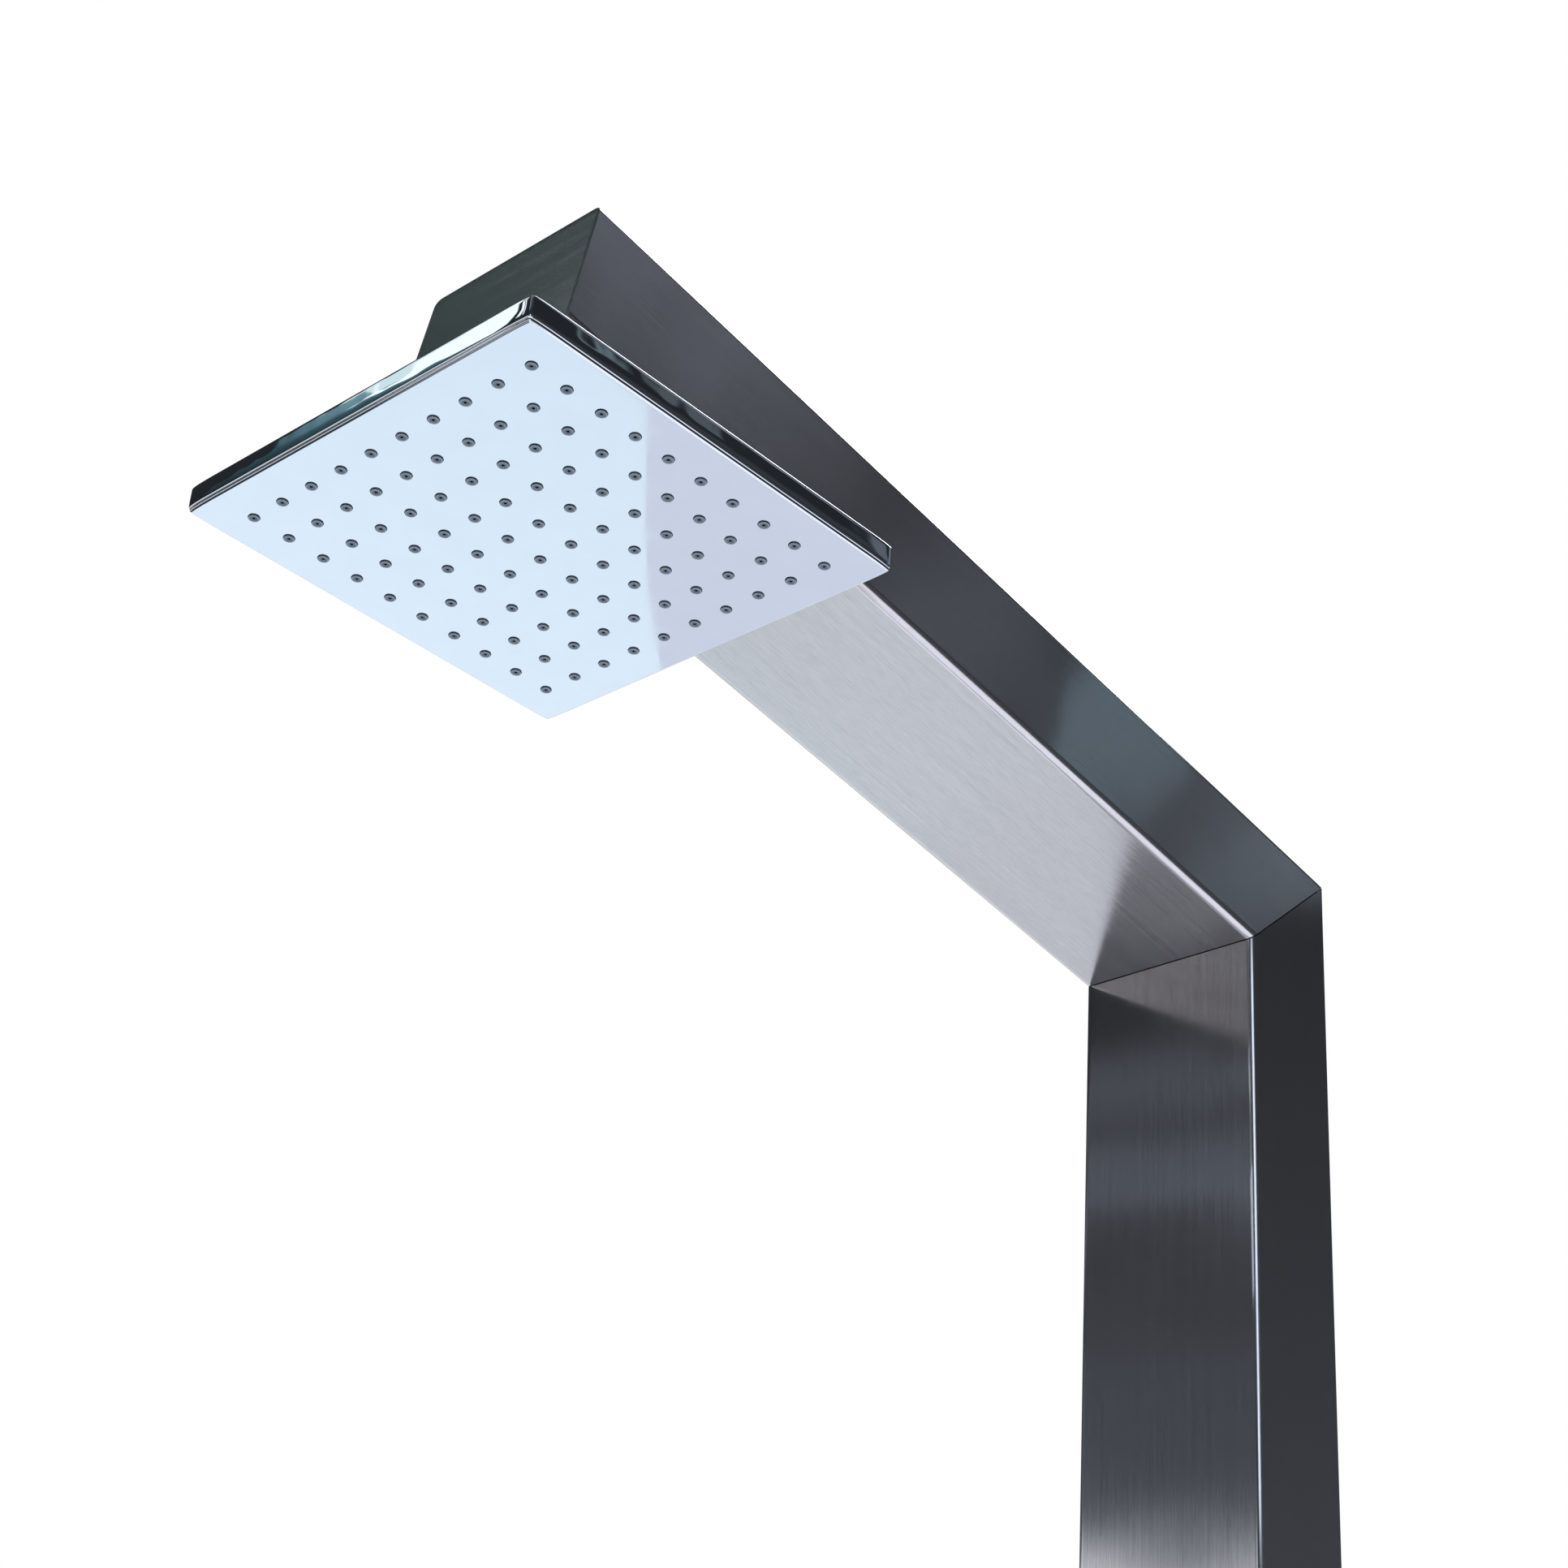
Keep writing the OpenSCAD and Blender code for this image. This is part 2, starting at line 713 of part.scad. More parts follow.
module cartridge_base() {
    color(white_plastic) cartridge_frame() difference() {
        translate([0, 0, disc_gap]) cylinder(r = cart_r, h = base_disc_t - disc_gap);
        port_places() translate([0, 0, -1]) cylinder(d = port_d, h = base_disc_t + 2);
        port_places() translate([0, 0, -1]) cylinder(r = port_d / 2 + seal_w, h = seal_h + 1);
    }
}

module fixed_disc() {
    color(ceramic) cartridge_frame() translate([0, 0, base_disc_t]) difference() {
        cylinder(r = cart_in_r - 0.1, h = disc_t);
        port_places() translate([0, 0, -1]) cylinder(d = port_d, h = disc_t + 2);
    }
}

module moving_disc() {
    low = base_disc_t + disc_t + disc_gap;
    color(ceramic) cartridge_frame() translate([0, 0, low]) difference() {
        cylinder(d = disc_d, h = disc_t);
        translate([0, mixing_at, -1]) cylinder(d = mixing_d, h = disc_t / 2 + 1);
    }
}

module disc_carrier() {
    low = base_disc_t + 2 * disc_t + disc_gap;
    color(white_plastic) cartridge_frame() difference() {
        translate([0, 0, low]) cylinder(d = disc_d, h = rotor_low - run_clear - low);
        translate([0, 0, pivot_h - crank - stem_ball_r - run_clear])
            cylinder(r = stem_ball_r + run_clear, h = deep);
    }
}

module cartridge_rotor() {
    color(white_plastic) cartridge_frame() difference() {
        union() {
            translate([0, 0, rotor_low]) cylinder(r = rotor_r, h = rotor_step - rotor_low);
            translate([0, 0, rotor_low]) cylinder(r = rotor_neck_r, h = cart_top - rotor_low);
        }
        translate([-stem_w / 2 - run_clear, -slot_half_y, rotor_low - 1])
            cube([stem_w + 2 * run_clear, 2 * slot_half_y, cart_top]);
        translate([-rotor_r - 1, 0, pivot_h]) rotate([0, 90, 0])
            cylinder(d = pin_d + 2 * thread_clear, h = 2 * rotor_r + 2);
    }
}

module pivot_pin() {
    half = rotor_r - 1;
    color(steel) pivot_frame() translate([-half, 0, 0]) rotate([0, 90, 0]) cylinder(d = pin_d, h = 2 * half);
}

module cartridge_housing() {
    color(white_plastic) cartridge_frame() difference() {
        union() {
            translate([0, 0, base_disc_t]) cylinder(r = cart_r, h = ledge_low + ledge_t - base_disc_t);
            translate([0, 0, base_disc_t]) cylinder(r = neck_out_r, h = cart_top - base_disc_t);
        }
        translate([0, 0, base_disc_t - 1]) cylinder(r = cart_in_r, h = ledge_low - base_disc_t + 1);
        cylinder(r = neck_in_r, h = cart_top + 1);
    }
}

module cartridge_nut() {
    nut_h = cart_top - ledge_low - ledge_t + 1;
    slot_d = 4;
    slot_h = 2;
    color(brass) cartridge_frame() translate([0, 0, ledge_low + ledge_t]) difference() {
        cylinder(r = cart_nut_r, h = nut_h);
        translate([0, 0, -1]) cylinder(r = neck_out_r + run_clear, h = nut_h + 2);
        for (a = [45:90:315]) rotate([0, 0, a])
            translate([cart_nut_r - 1, 0, nut_h - slot_h]) cylinder(d = slot_d, h = slot_h + 1);
    }
}

// Mixer: the lever and what it carries

module lever_stem() {
    color(steel) pivot_frame() difference() {
        union() {
            translate([0, 0, -crank]) sphere(r = stem_ball_r);
            translate([0, 0, -crank]) cylinder(r = stem_neck_r, h = crank);
            translate([-stem_w / 2, -stem_w / 2, -crank / 2]) cube([stem_w, stem_w, crank / 2 + stem_top]);
        }
        translate([-stem_w, 0, 0]) rotate([0, 90, 0]) cylinder(d = pin_d + 2 * thread_clear, h = 2 * stem_w);
    }
}

module lever_blade() {
    translate([0, 0, blade_z]) rotate([-lever_lean, 0, 0]) translate([0, 0, -lever_t / 2]) {
        translate([-lever_w / 2, -lever_len + lever_w / 2, 0])
            cube([lever_w, lever_len - lever_w / 2 - blade_root, lever_t]);
        translate([0, -lever_len + lever_w / 2, 0]) cylinder(d = lever_w, h = lever_t);
    }
}

module lever_handle() {
    pocket_w = stem_w + 2 * stem_fit;
    color(chrome) pivot_frame() difference() {
        union() {
            difference() {
                union() {
                    translate([0, 0, cap_low]) cylinder(d = cap_d, h = cap_top - cap_bevel - cap_low);
                    translate([0, 0, cap_top - cap_bevel])
                        cylinder(d1 = cap_d, d2 = cap_d - 2 * cap_bevel, h = cap_bevel);
                }
                sphere(r = cap_in_r);
            }
            lever_blade();
            translate([0, 0, hub_low]) cylinder(r = hub_r, h = cap_top - hub_low - cap_bevel);
        }
        translate([-pocket_w / 2, -pocket_w / 2, 0]) cube([pocket_w, pocket_w, stem_top + end_gap]);
        translate([0, 0, grub_z]) rotate([-90, 0, 0]) cylinder(d = grub_d + 2 * thread_clear, h = cap_d);
        translate([0, cap_d / 2 - pocket_h, grub_z]) rotate([-90, 0, 0])
            cylinder(d = plug_d + 2 * stem_fit, h = cap_d);
    }
}

module grub_screw() {
    color(dark_steel) pivot_frame() translate([0, stem_w / 2, grub_z]) rotate([-90, 0, 0]) difference() {
        cylinder(d = grub_d, h = grub_len);
        translate([0, 0, grub_len / 2]) hex_bar(grub_d / 2, grub_len);
    }
}

module lever_plug() {
    color(rubber) pivot_frame() translate([0, cap_d / 2 - pocket_h, grub_z]) rotate([-90, 0, 0])
        cylinder(d = plug_d, h = plug_h);
}

// Hoses: an end lies along +Z, with the male thread's end face at z = 0

module hose_end_seal() {
    ring(nipple_r - hose_end_inset, hose_bore / 2, seal_t);
}

module hose_end_ferrule() {
    difference() {
        union() {
            translate([0, 0, seal_t]) cylinder(r = nipple_r - hose_end_inset, h = tail_flange_t);
            translate([0, 0, seal_t]) cylinder(r = ferrule_r, h = ferrule_len);
        }
        cylinder(d = hose_bore - 1, h = ferrule_len + seal_t + 1);
        translate([0, 0, tail_start]) cylinder(r = hose_d / 2 + hose_clear, h = ferrule_len);
    }
}

module hose_end_nut() {
    lip = seal_t + tail_flange_t + end_gap;
    difference() {
        translate([0, 0, -union_grip]) hex_nut(union_af, union_grip + lip + union_lip, ferrule_r + end_gap);
        translate([0, 0, -union_grip - 1]) cylinder(r = tapped_r, h = union_grip + 1);
        cylinder(r = tapped_r + thread_relief, h = lip);
    }
}

// Where the six hose ends are: two at the valve's inlets, two at the floor and two on the riser
module valve_inlet_ends() {
    mixer_frame() inlet_frames() translate([0, 0, stub_len]) children();
}

module floor_ends() {
    for (x = [-1, 1]) translate([x * supply_pitch / 2, 0, supply_z]) children();
}

module riser_low_end() {
    mixer_frame() outlet_frame() translate([0, 0, stub_len]) children();
}

module riser_high_end() {
    nipple_frame() translate([0, elbow_reach, tube_d / 2]) rotate([-90, 0, 0]) children();
}

module inner_ends() {
    valve_inlet_ends() children();
    riser_low_end() children();
    riser_high_end() children();
}

module all_hose_ends() {
    inner_ends() children();
    floor_ends() children();
}

module hose_ferrules() {
    color(steel) all_hose_ends() hose_end_ferrule();
}

module hose_nuts() {
    color(brass) inner_ends() hose_end_nut();
}

module supply_nuts() {
    color(brass) floor_ends() hose_end_nut();
}

module hose_seals() {
    color(rubber) all_hose_ends() hose_end_seal();
}

module supply_hose(side) {
    low = supply_z + tail_start + end_gap;
    high = mixer_z - stub_len - tail_start - end_gap;
    color(braid) translate([side * supply_pitch / 2, 0, low]) ring(hose_d / 2, hose_bore / 2, high - low);
}

module hot_hose() {
    supply_hose(-1);
}

module cold_hose() {
    supply_hose(1);
}

// The riser runs up the column, round the knee in one bend and along the arm, all in the plane x = 0.
// Each entry of its route is a point of the centre line and the lean of the hose there, in degrees.
function riser_route() =
    let (corner_z = knee_z + tube_d / 2 * tan(mitre_a), bend_z = corner_z - riser_bend * tan(mitre_a),
        end = nipple_y + elbow_reach + tail_start + end_gap, turn = 90 - arm_rise)
    concat(
        [[0, mixer_z + stub_len + tail_start + end_gap, 0]],
        [for (i = [0:riser_steps]) let (t = turn * i / riser_steps)
            [riser_bend * (cos(t) - 1), bend_z + riser_bend * sin(t), t]],
        [[front_y + end * cos(arm_rise) + tube_d / 2 * sin(arm_rise),
            knee_z - end * sin(arm_rise) + tube_d / 2 * cos(arm_rise), turn]]);

function riser_ring(at, r) = [for (k = [0:riser_sides - 1]) let (a = 360 * k / riser_sides)
    [r * cos(a), at[0] + r * sin(a) * cos(at[2]), at[1] + r * sin(a) * sin(at[2])]];

module riser_hose() {
    route = riser_route();
    rings = len(route);
    n = riser_sides;
    points = [for (r = [hose_d / 2, hose_bore / 2], at = route) each riser_ring(at, r)];
    last = (rings - 1) * n;
    inner = rings * n;
    faces = [for (k = [0:n - 1]) let (m = (k + 1) % n) each concat(
        [for (i = [0:rings - 2]) [i * n + k, (i + 1) * n + k, (i + 1) * n + m, i * n + m]],
        [for (i = [0:rings - 2])
            [inner + i * n + m, inner + (i + 1) * n + m, inner + (i + 1) * n + k, inner + i * n + k]],
        [[k, m, inner + m, inner + k], [last + m, last + k, inner + last + k, inner + last + m]])];
    color(braid) polyhedron(points, faces, convexity = 6);
}

// Arm outlet: elbow, nipple and ball

module elbow_fitting() {
    body_r = nipple_bore / 2 + elbow_wall;
    color(brass) nipple_frame() difference() {
        union() {
            translate([0, 0, elbow_low]) cylinder(r = tapped_r + elbow_socket_wall, h = elbow_grip + 2);
            translate([0, 0, nipple_up]) cylinder(r = body_r, h = tube_d / 2 - nipple_up);
            translate([0, 0, tube_d / 2]) sphere(r = body_r);
            translate([0, 0, tube_d / 2]) rotate([-90, 0, 0]) cylinder(r = nipple_r, h = elbow_reach);
            translate([0, elbow_hex_at, tube_d / 2]) rotate([-90, 0, 0]) hex_bar(union_af, elbow_hex_h);
        }
        translate([0, 0, elbow_low - 1]) cylinder(r = tapped_r, h = elbow_grip + 1 + end_gap);
        translate([0, 0, elbow_low]) cylinder(d = nipple_bore, h = tube_d / 2 - elbow_low);
        translate([0, 0, tube_d / 2]) sphere(d = nipple_bore);
        translate([0, 0, tube_d / 2]) rotate([-90, 0, 0]) cylinder(d = nipple_bore, h = elbow_reach + 1);
    }
}

module arm_nipple() {
    color(chrome) nipple_frame() difference() {
        union() {
            translate([0, 0, -nipple_low]) cylinder(r = nipple_r, h = nipple_low + nipple_up);
            translate([0, 0, -flange_seal_t - flange_t]) cylinder(d = flange_d, h = flange_t);
        }
        translate([0, 0, -nipple_low - 1]) cylinder(d = nipple_bore, h = nipple_low + nipple_up + 2);
    }
}

module flange_seal() {
    color(rubber) nipple_frame() translate([0, 0, -flange_seal_t])
        ring(flange_d / 2 - 1, tapped_r, flange_seal_t);
}

module nipple_washer() {
    color(steel) nipple_frame() translate([0, 0, tube_wall]) ring(locknut / 2 + 1, tapped_r, washer_t);
}

module nipple_locknut() {
    color(brass) nipple_frame() translate([0, 0, tube_wall + washer_t]) hex_nut(locknut, locknut_h, tapped_r);
}

module swivel_ball() {
    hex_top = -flange_seal_t - flange_t;
    color(chrome) nipple_frame() difference() {
        union() {
            translate([0, 0, hex_top - ball_hex_h]) hex_nut(ball_hex, ball_hex_h, 1);
            translate([0, 0, -ball_drop])
                cylinder(d = ball_stem_d, h = ball_drop + hex_top - ball_hex_h + 1);
            translate([0, 0, -ball_drop]) sphere(r = ball_r);
        }
        translate([0, 0, -nipple_low - end_gap]) cylinder(r = tapped_r, h = nipple_low);
        translate([0, 0, -ball_drop - ball_r - 1]) cylinder(d = ball_bore, h = ball_drop + ball_r);
    }
}

// Ball joint, in a frame whose origin is the ball's centre

// A ring cut from a hollow sphere between two heights
module seat_ring(low, high) {
    intersection() {
        difference() {
            sphere(r = seat_r_out);
            sphere(r = seat_r_in);
        }
        translate([0, 0, low]) cylinder(r = seat_r_out + 1, h = high - low);
    }
}

module upper_ball_seat() {
    color(white_plastic) ball_frame() seat_ring(seat_low, seat_top);
}

module lower_ball_seat() {
    color(white_plastic) ball_frame() seat_ring(-seat_bottom, -seat_low);
}

module ball_nut() {
    shoulder = 3;
    groove_d = 4;
    groove_at = ball_nut_d / 2 + 1.3;
    open_r = sqrt(socket_r * socket_r - seat_top * seat_top);
    color(chrome) ball_frame() difference() {
        union() {
            translate([0, 0, -ball_nut_low]) cylinder(d = ball_nut_d, h = ball_nut_low + ball_nut_top - shoulder);
            translate([0, 0, ball_nut_top - shoulder])
                cylinder(d1 = ball_nut_d, d2 = ball_nut_d - 2 * shoulder, h = shoulder);
        }
        translate([0, 0, -ball_nut_low - 1])
            cylinder(d = neck_d + 2 * thread_clear, h = ball_nut_low + 1 + socket_split);
        sphere(r = socket_r);
        cylinder(r = open_r, h = ball_nut_top + 1);
        for (a = [0:360 / grip_n:359]) rotate([0, 0, a])
            translate([groove_at, 0, -ball_nut_low - 1]) cylinder(d = groove_d, h = ball_nut_low + 2);
    }
}

module head_neck() {
    color(brass) ball_frame() difference() {
        union() {
            translate([0, 0, -ball_rise]) cylinder(d = neck_d, h = ball_rise + socket_split);
            translate([0, 0, -ball_rise]) cylinder(d = neck_flange_d, h = neck_flange_t);
            translate([0, 0, -ball_rise - shell_top]) cylinder(d = spigot_d, h = shell_top + eps);
        }
        sphere(r = socket_r);
        translate([0, 0, -ball_rise + insert_low]) cylinder(r = insert_r + insert_clear, h = ball_rise);
        translate([0, 0, -ball_rise - shell_top - 1]) cylinder(r = insert_r - insert_low, h = ball_rise);
    }
}

module flow_regulator() {
    hole_at = 2.6;
    hole_d = 1.2;
    color(white_plastic) ball_frame() translate([0, 0, -ball_rise + insert_low]) difference() {
        cylinder(r = insert_r, h = regulator_h);
        for (a = [0:60:300]) rotate([0, 0, a])
            translate([hole_at, 0, -1]) cylinder(d = hole_d, h = regulator_h + 2);
        translate([0, 0, regulator_h - 1]) ring(insert_r - 1, hole_d, 2);
    }
}

module filter_screen() {
    mesh_pitch = 1.6;
    mesh_hole_d = 0.9;
    color(steel) ball_frame() translate([0, 0, -ball_rise + insert_low + regulator_h]) difference() {
        cylinder(r = insert_r, h = filter_h);
        for (x = [-2:2], y = [-2:2])
            translate([x * mesh_pitch, y * mesh_pitch, -1])
                cylinder(d = mesh_hole_d, h = filter_h + 2, $fn = 16);
    }
}

// Shower head

module head_shell() {
    color(chrome) head_frame() difference() {
        translate([0, 0, face_t + seam])
            bevel_slab(head_w, head_w, head_t - face_t - seam, head_r, film, head_bevel);
        translate([0, 0, face_t]) block(cavity_w, cavity_w, head_t - face_t - shell_top, head_r);
        cylinder(d = spigot_d + gasket_clear, h = head_t + 1);
    }
}

module head_gasket() {
    color(rubber) head_frame() translate([0, 0, face_t]) difference() {
        block(cavity_w - 2 * gasket_clear, cavity_w - 2 * gasket_clear, gasket_h, head_r);
        translate([0, 0, -1]) block(cavity_w - 2 * gasket_w, cavity_w - 2 * gasket_w, gasket_h + 2, head_r);
    }
}

module nozzle_places() {
    start = -(nozzle_n - 1) / 2 * nozzle_pitch;
    for (i = [0:nozzle_n - 1], j = [0:nozzle_n - 1])
        translate([start + i * nozzle_pitch, start + j * nozzle_pitch, 0]) children();
}

module face_plate() {
    color(chrome) head_frame() difference() {
        bevel_slab(head_w, head_w, face_t, head_r, head_bevel, film);
        nozzle_places() translate([0, 0, -1]) cylinder(d = nozzle_hole_d, h = face_t + 2, $fn = 32);
    }
}

module nozzle_mat() {
    color(silicone) head_frame() difference() {
        union() {
            translate([0, 0, face_t]) block(mat_w, mat_w, mat_t, head_r);
            nozzle_places() translate([0, 0, -nozzle_out])
                cylinder(d = nozzle_d, h = nozzle_out + face_t + eps, $fn = 32);
        }
        nozzle_places() translate([0, 0, -nozzle_out - 1])
            cylinder(d = jet_d, h = nozzle_out + face_t + mat_t + 2, $fn = 16);
        nozzle_places() translate([0, 0, -nozzle_out - 1]) cylinder(d = dish_d, h = dish_h + 1, $fn = 24);
    }
}

base_plate();
foot_sleeve();
foot_screws();
column_tube();
knee_joiner();
knee_screws();
arm_tube();
arm_end_cap();
valve_body();
clamp_ring();
foam_gasket();
wall_plate();
dome_cover();
cartridge_base();
cartridge_housing();
cartridge_nut();
port_seals();
fixed_disc();
moving_disc();
disc_carrier();
cartridge_rotor();
pivot_pin();
lever_stem();
lever_handle();
grub_screw();
lever_plug();
hot_hose();
cold_hose();
riser_hose();
hose_ferrules();
hose_nuts();
supply_nuts();
hose_seals();
elbow_fitting();
arm_nipple();
nipple_locknut();
nipple_washer();
flange_seal();
swivel_ball();
upper_ball_seat();
lower_ball_seat();
ball_nut();
head_neck();
filter_screen();
flow_regulator();
head_shell();
head_gasket();
nozzle_mat();
face_plate();
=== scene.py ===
"""Outdoor shower: finishes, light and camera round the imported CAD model.

Metres, +Z up. The origin is on the floor under the column, and the arm reaches along -Y.
The head's own meshes are drawn in millimetres from the middle of its spray face.
"""
import math
from collections import namedtuple

import bmesh
import bpy
from mathutils import Matrix, Vector


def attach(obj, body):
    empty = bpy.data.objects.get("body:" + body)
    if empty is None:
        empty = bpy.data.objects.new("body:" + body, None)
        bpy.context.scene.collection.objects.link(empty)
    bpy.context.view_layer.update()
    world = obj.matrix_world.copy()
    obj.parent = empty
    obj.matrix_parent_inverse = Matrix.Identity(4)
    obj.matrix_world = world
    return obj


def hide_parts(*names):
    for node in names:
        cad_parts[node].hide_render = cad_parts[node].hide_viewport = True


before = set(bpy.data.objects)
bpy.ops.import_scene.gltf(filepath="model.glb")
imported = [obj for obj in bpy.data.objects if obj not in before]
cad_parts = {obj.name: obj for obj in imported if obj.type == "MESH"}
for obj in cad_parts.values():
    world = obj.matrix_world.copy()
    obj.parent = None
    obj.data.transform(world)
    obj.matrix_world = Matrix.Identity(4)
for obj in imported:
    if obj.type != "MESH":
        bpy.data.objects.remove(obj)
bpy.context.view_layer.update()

MM = 0.001
QUARTER_TURN = math.pi / 2
ARM_RISE = math.radians(9)
SPRAY_Z = 2.113
HEAD_AT = Vector((0, -0.4605, SPRAY_Z))


# Node helpers

def new_material(name):
    mat = bpy.data.materials.new(name)
    mat.use_nodes = True
    tree = mat.node_tree
    return mat, tree, tree.nodes["Principled BSDF"]


def add(tree, kind, **values):
    """A new node with its own settings."""
    node = tree.nodes.new(kind)
    for key, value in values.items():
        setattr(node, key, value)
    return node


def put(node, **inputs):
    """Sets input sockets by name, with _ for a space."""
    for key, value in inputs.items():
        node.inputs[key.replace("_", " ")].default_value = value
    return node


def coordinates(tree, scale=(1, 1, 1), rotation=(0, 0, 0)):
    """Object coordinates in axes turned by the rotation, and then scaled along those axes."""
    coord = add(tree, "ShaderNodeTexCoord")
    mapping = add(tree, "ShaderNodeMapping", vector_type="TEXTURE")
    put(mapping, Scale=tuple(1 / s for s in scale), Rotation=rotation)
    tree.links.new(coord.outputs["Object"], mapping.inputs["Vector"])
    return mapping.outputs["Vector"]


def axes(tree):
    """Object X, Y and Z as three sockets."""
    split = add(tree, "ShaderNodeSeparateXYZ")
    tree.links.new(coordinates(tree), split.inputs[0])
    return split.outputs["X"], split.outputs["Y"], split.outputs["Z"]


def noise(tree, vector, scale, detail=4, rough=0.5):
    """Noise between 0 and 1, mostly in NOISE_MIDDLE."""
    node = add(tree, "ShaderNodeTexNoise")
    put(node, Scale=scale, Detail=detail, Roughness=rough)
    tree.links.new(vector, node.inputs["Vector"])
    return node.outputs["Fac"]


def drawn_out(tree, rotation, stretch, scale, detail, rough=0.5):
    """Noise drawn out along the rotated Z: the smaller the stretch, the longer its lines."""
    return noise(tree, coordinates(tree, (1, 1, stretch), rotation), scale, detail, rough)


def spread(tree, value, low, high, to_low, to_high):
    """Maps a value from one range to another, clamped."""
    node = add(tree, "ShaderNodeMapRange")
    put(node, From_Min=low, From_Max=high, To_Min=to_low, To_Max=to_high)
    tree.links.new(value, node.inputs["Value"])
    return node.outputs["Result"]


def ramp(tree, value, stops):
    """A colour ramp with stops of (position, (r, g, b))."""
    node = add(tree, "ShaderNodeValToRGB")
    ends = node.color_ramp.elements
    while len(ends) < len(stops):
        ends.new(0.5)
    for end, (place, colour) in zip(ends, stops):
        end.position = place
        end.color = (*colour, 1)
    tree.links.new(value, node.inputs["Fac"])
    return node.outputs["Color"]


def bump(tree, height, shader, strength, distance, socket="Normal"):
    node = add(tree, "ShaderNodeBump")
    put(node, Strength=strength, Distance=distance)
    tree.links.new(height, node.inputs["Height"])
    tree.links.new(node.outputs["Normal"], shader.inputs[socket])


def maths(tree, operation, first, second=0):
    """A sum on two values, each a socket or a number."""
    node = add(tree, "ShaderNodeMath", operation=operation)
    for socket, value in zip(node.inputs, (first, second)):
        if isinstance(value, (int, float)):
            socket.default_value = value
        else:
            tree.links.new(value, socket)
    return node.outputs[0]


def plus(tree, first, second):
    return maths(tree, "ADD", first, second)


def minus(tree, first, second):
    return maths(tree, "SUBTRACT", first, second)


def times(tree, first, second):
    return maths(tree, "MULTIPLY", first, second)


def mix_colours(tree, factor, first, second, blend="MIX"):
    """Mixes two colours, each a socket or (r, g, b), by a socket or a number."""
    node = add(tree, "ShaderNodeMix", data_type="RGBA", blend_type=blend)
    factor_in, first_in, second_in = node.inputs[0], node.inputs[6], node.inputs[7]
    if isinstance(factor, float):
        factor_in.default_value = factor
    else:
        tree.links.new(factor, factor_in)
    for socket, value in ((first_in, first), (second_in, second)):
        if isinstance(value, tuple):
            socket.default_value = (*value, 1)
        else:
            tree.links.new(value, socket)
    return node.outputs[2]


def mix_shaders(tree, factor, first, second):
    node = add(tree, "ShaderNodeMixShader")
    for socket, value in zip(node.inputs, (factor, first, second)):
        tree.links.new(value, socket)
    return node.outputs[0]


# Finishes

NOISE_MIDDLE = (0.3, 0.7)  # where most of a noise's values lie


def shade(colour, factor):
    """A colour made darker or lighter, up to 1 in each channel."""
    return tuple(min(1, c * factor) for c in colour)


def two_shades(tree, value, base, dark, light, middle=NOISE_MIDDLE):
    """From a darker to a lighter shade of a colour, over the middle of a noise's range."""
    return ramp(tree, value, ((middle[0], shade(base, dark)), (middle[1], shade(base, light))))


def roughen(tree, shader, value, rough, middle=NOISE_MIDDLE):
    """Roughness between two values, over the middle of a noise's range."""
    tree.links.new(spread(tree, value, *middle, *rough), shader.inputs["Roughness"])


STEEL = (0.57, 0.575, 0.605)
BRUSH_DEPTH = 0.004 * MM
SHEET_WAVE_DEPTH = 0.9 * MM
COAT_SCRATCH_DEPTH = 0.08 * MM


def brushed_steel(name, along, rotation):
    """Stainless steel brushed along a direction, to which the rotation turns Z.

    The brushing is a bed of fine lines. A thin coat with steeper lines stands for the deeper
    scratches, which carry light from far to the side.
    """
    mat, tree, shader = new_material(name)
    put(shader, Metallic=0.97, Anisotropic=1.0, Anisotropic_Rotation=0.25)
    put(shader, Coat_Weight=1.0, Coat_Roughness=0.05, Coat_IOR=1.6)
    fine = drawn_out(tree, rotation, stretch=0.002, scale=2600, detail=2)
    coarse = drawn_out(tree, rotation, stretch=0.02, scale=420, detail=3)
    lines = plus(tree, times(tree, fine, 0.6), times(tree, coarse, 0.4))
    cloud = noise(tree, coordinates(tree), scale=5, detail=3)
    tint = plus(tree, times(tree, lines, 0.8), times(tree, cloud, 0.2))
    worn = two_shades(tree, tint, STEEL, dark=0.9, light=1.08)
    # Lines wide enough to be seen one by one
    wide = drawn_out(tree, rotation, stretch=0.06, scale=1900, detail=2, rough=0.6)
    strokes = ramp(tree, wide, (
        (0.3, (0.91, 0.91, 0.91)), (0.5, (1, 1, 1)), (0.72, (1.07, 1.07, 1.07))))
    tree.links.new(mix_colours(tree, 1.0, worn, strokes, "MULTIPLY"), shader.inputs["Base Color"])
    roughen(tree, shader, lines, (0.10, 0.14))
    # The sheet's own slow waves lie under the brushing
    slow = noise(tree, coordinates(tree), scale=9, detail=1)
    relief = plus(tree, times(tree, fine, BRUSH_DEPTH), times(tree, slow, SHEET_WAVE_DEPTH))
    bump(tree, relief, shader, strength=1, distance=1)
    scratches = drawn_out(tree, rotation, stretch=0.005, scale=1700, detail=1)
    bump(tree, scratches, shader, strength=1, distance=COAT_SCRATCH_DEPTH, socket="Coat Normal")
    tangent = put(add(tree, "ShaderNodeCombineXYZ"), X=along[0], Y=along[1], Z=along[2])
    tree.links.new(tangent.outputs[0], shader.inputs["Tangent"])
    return mat


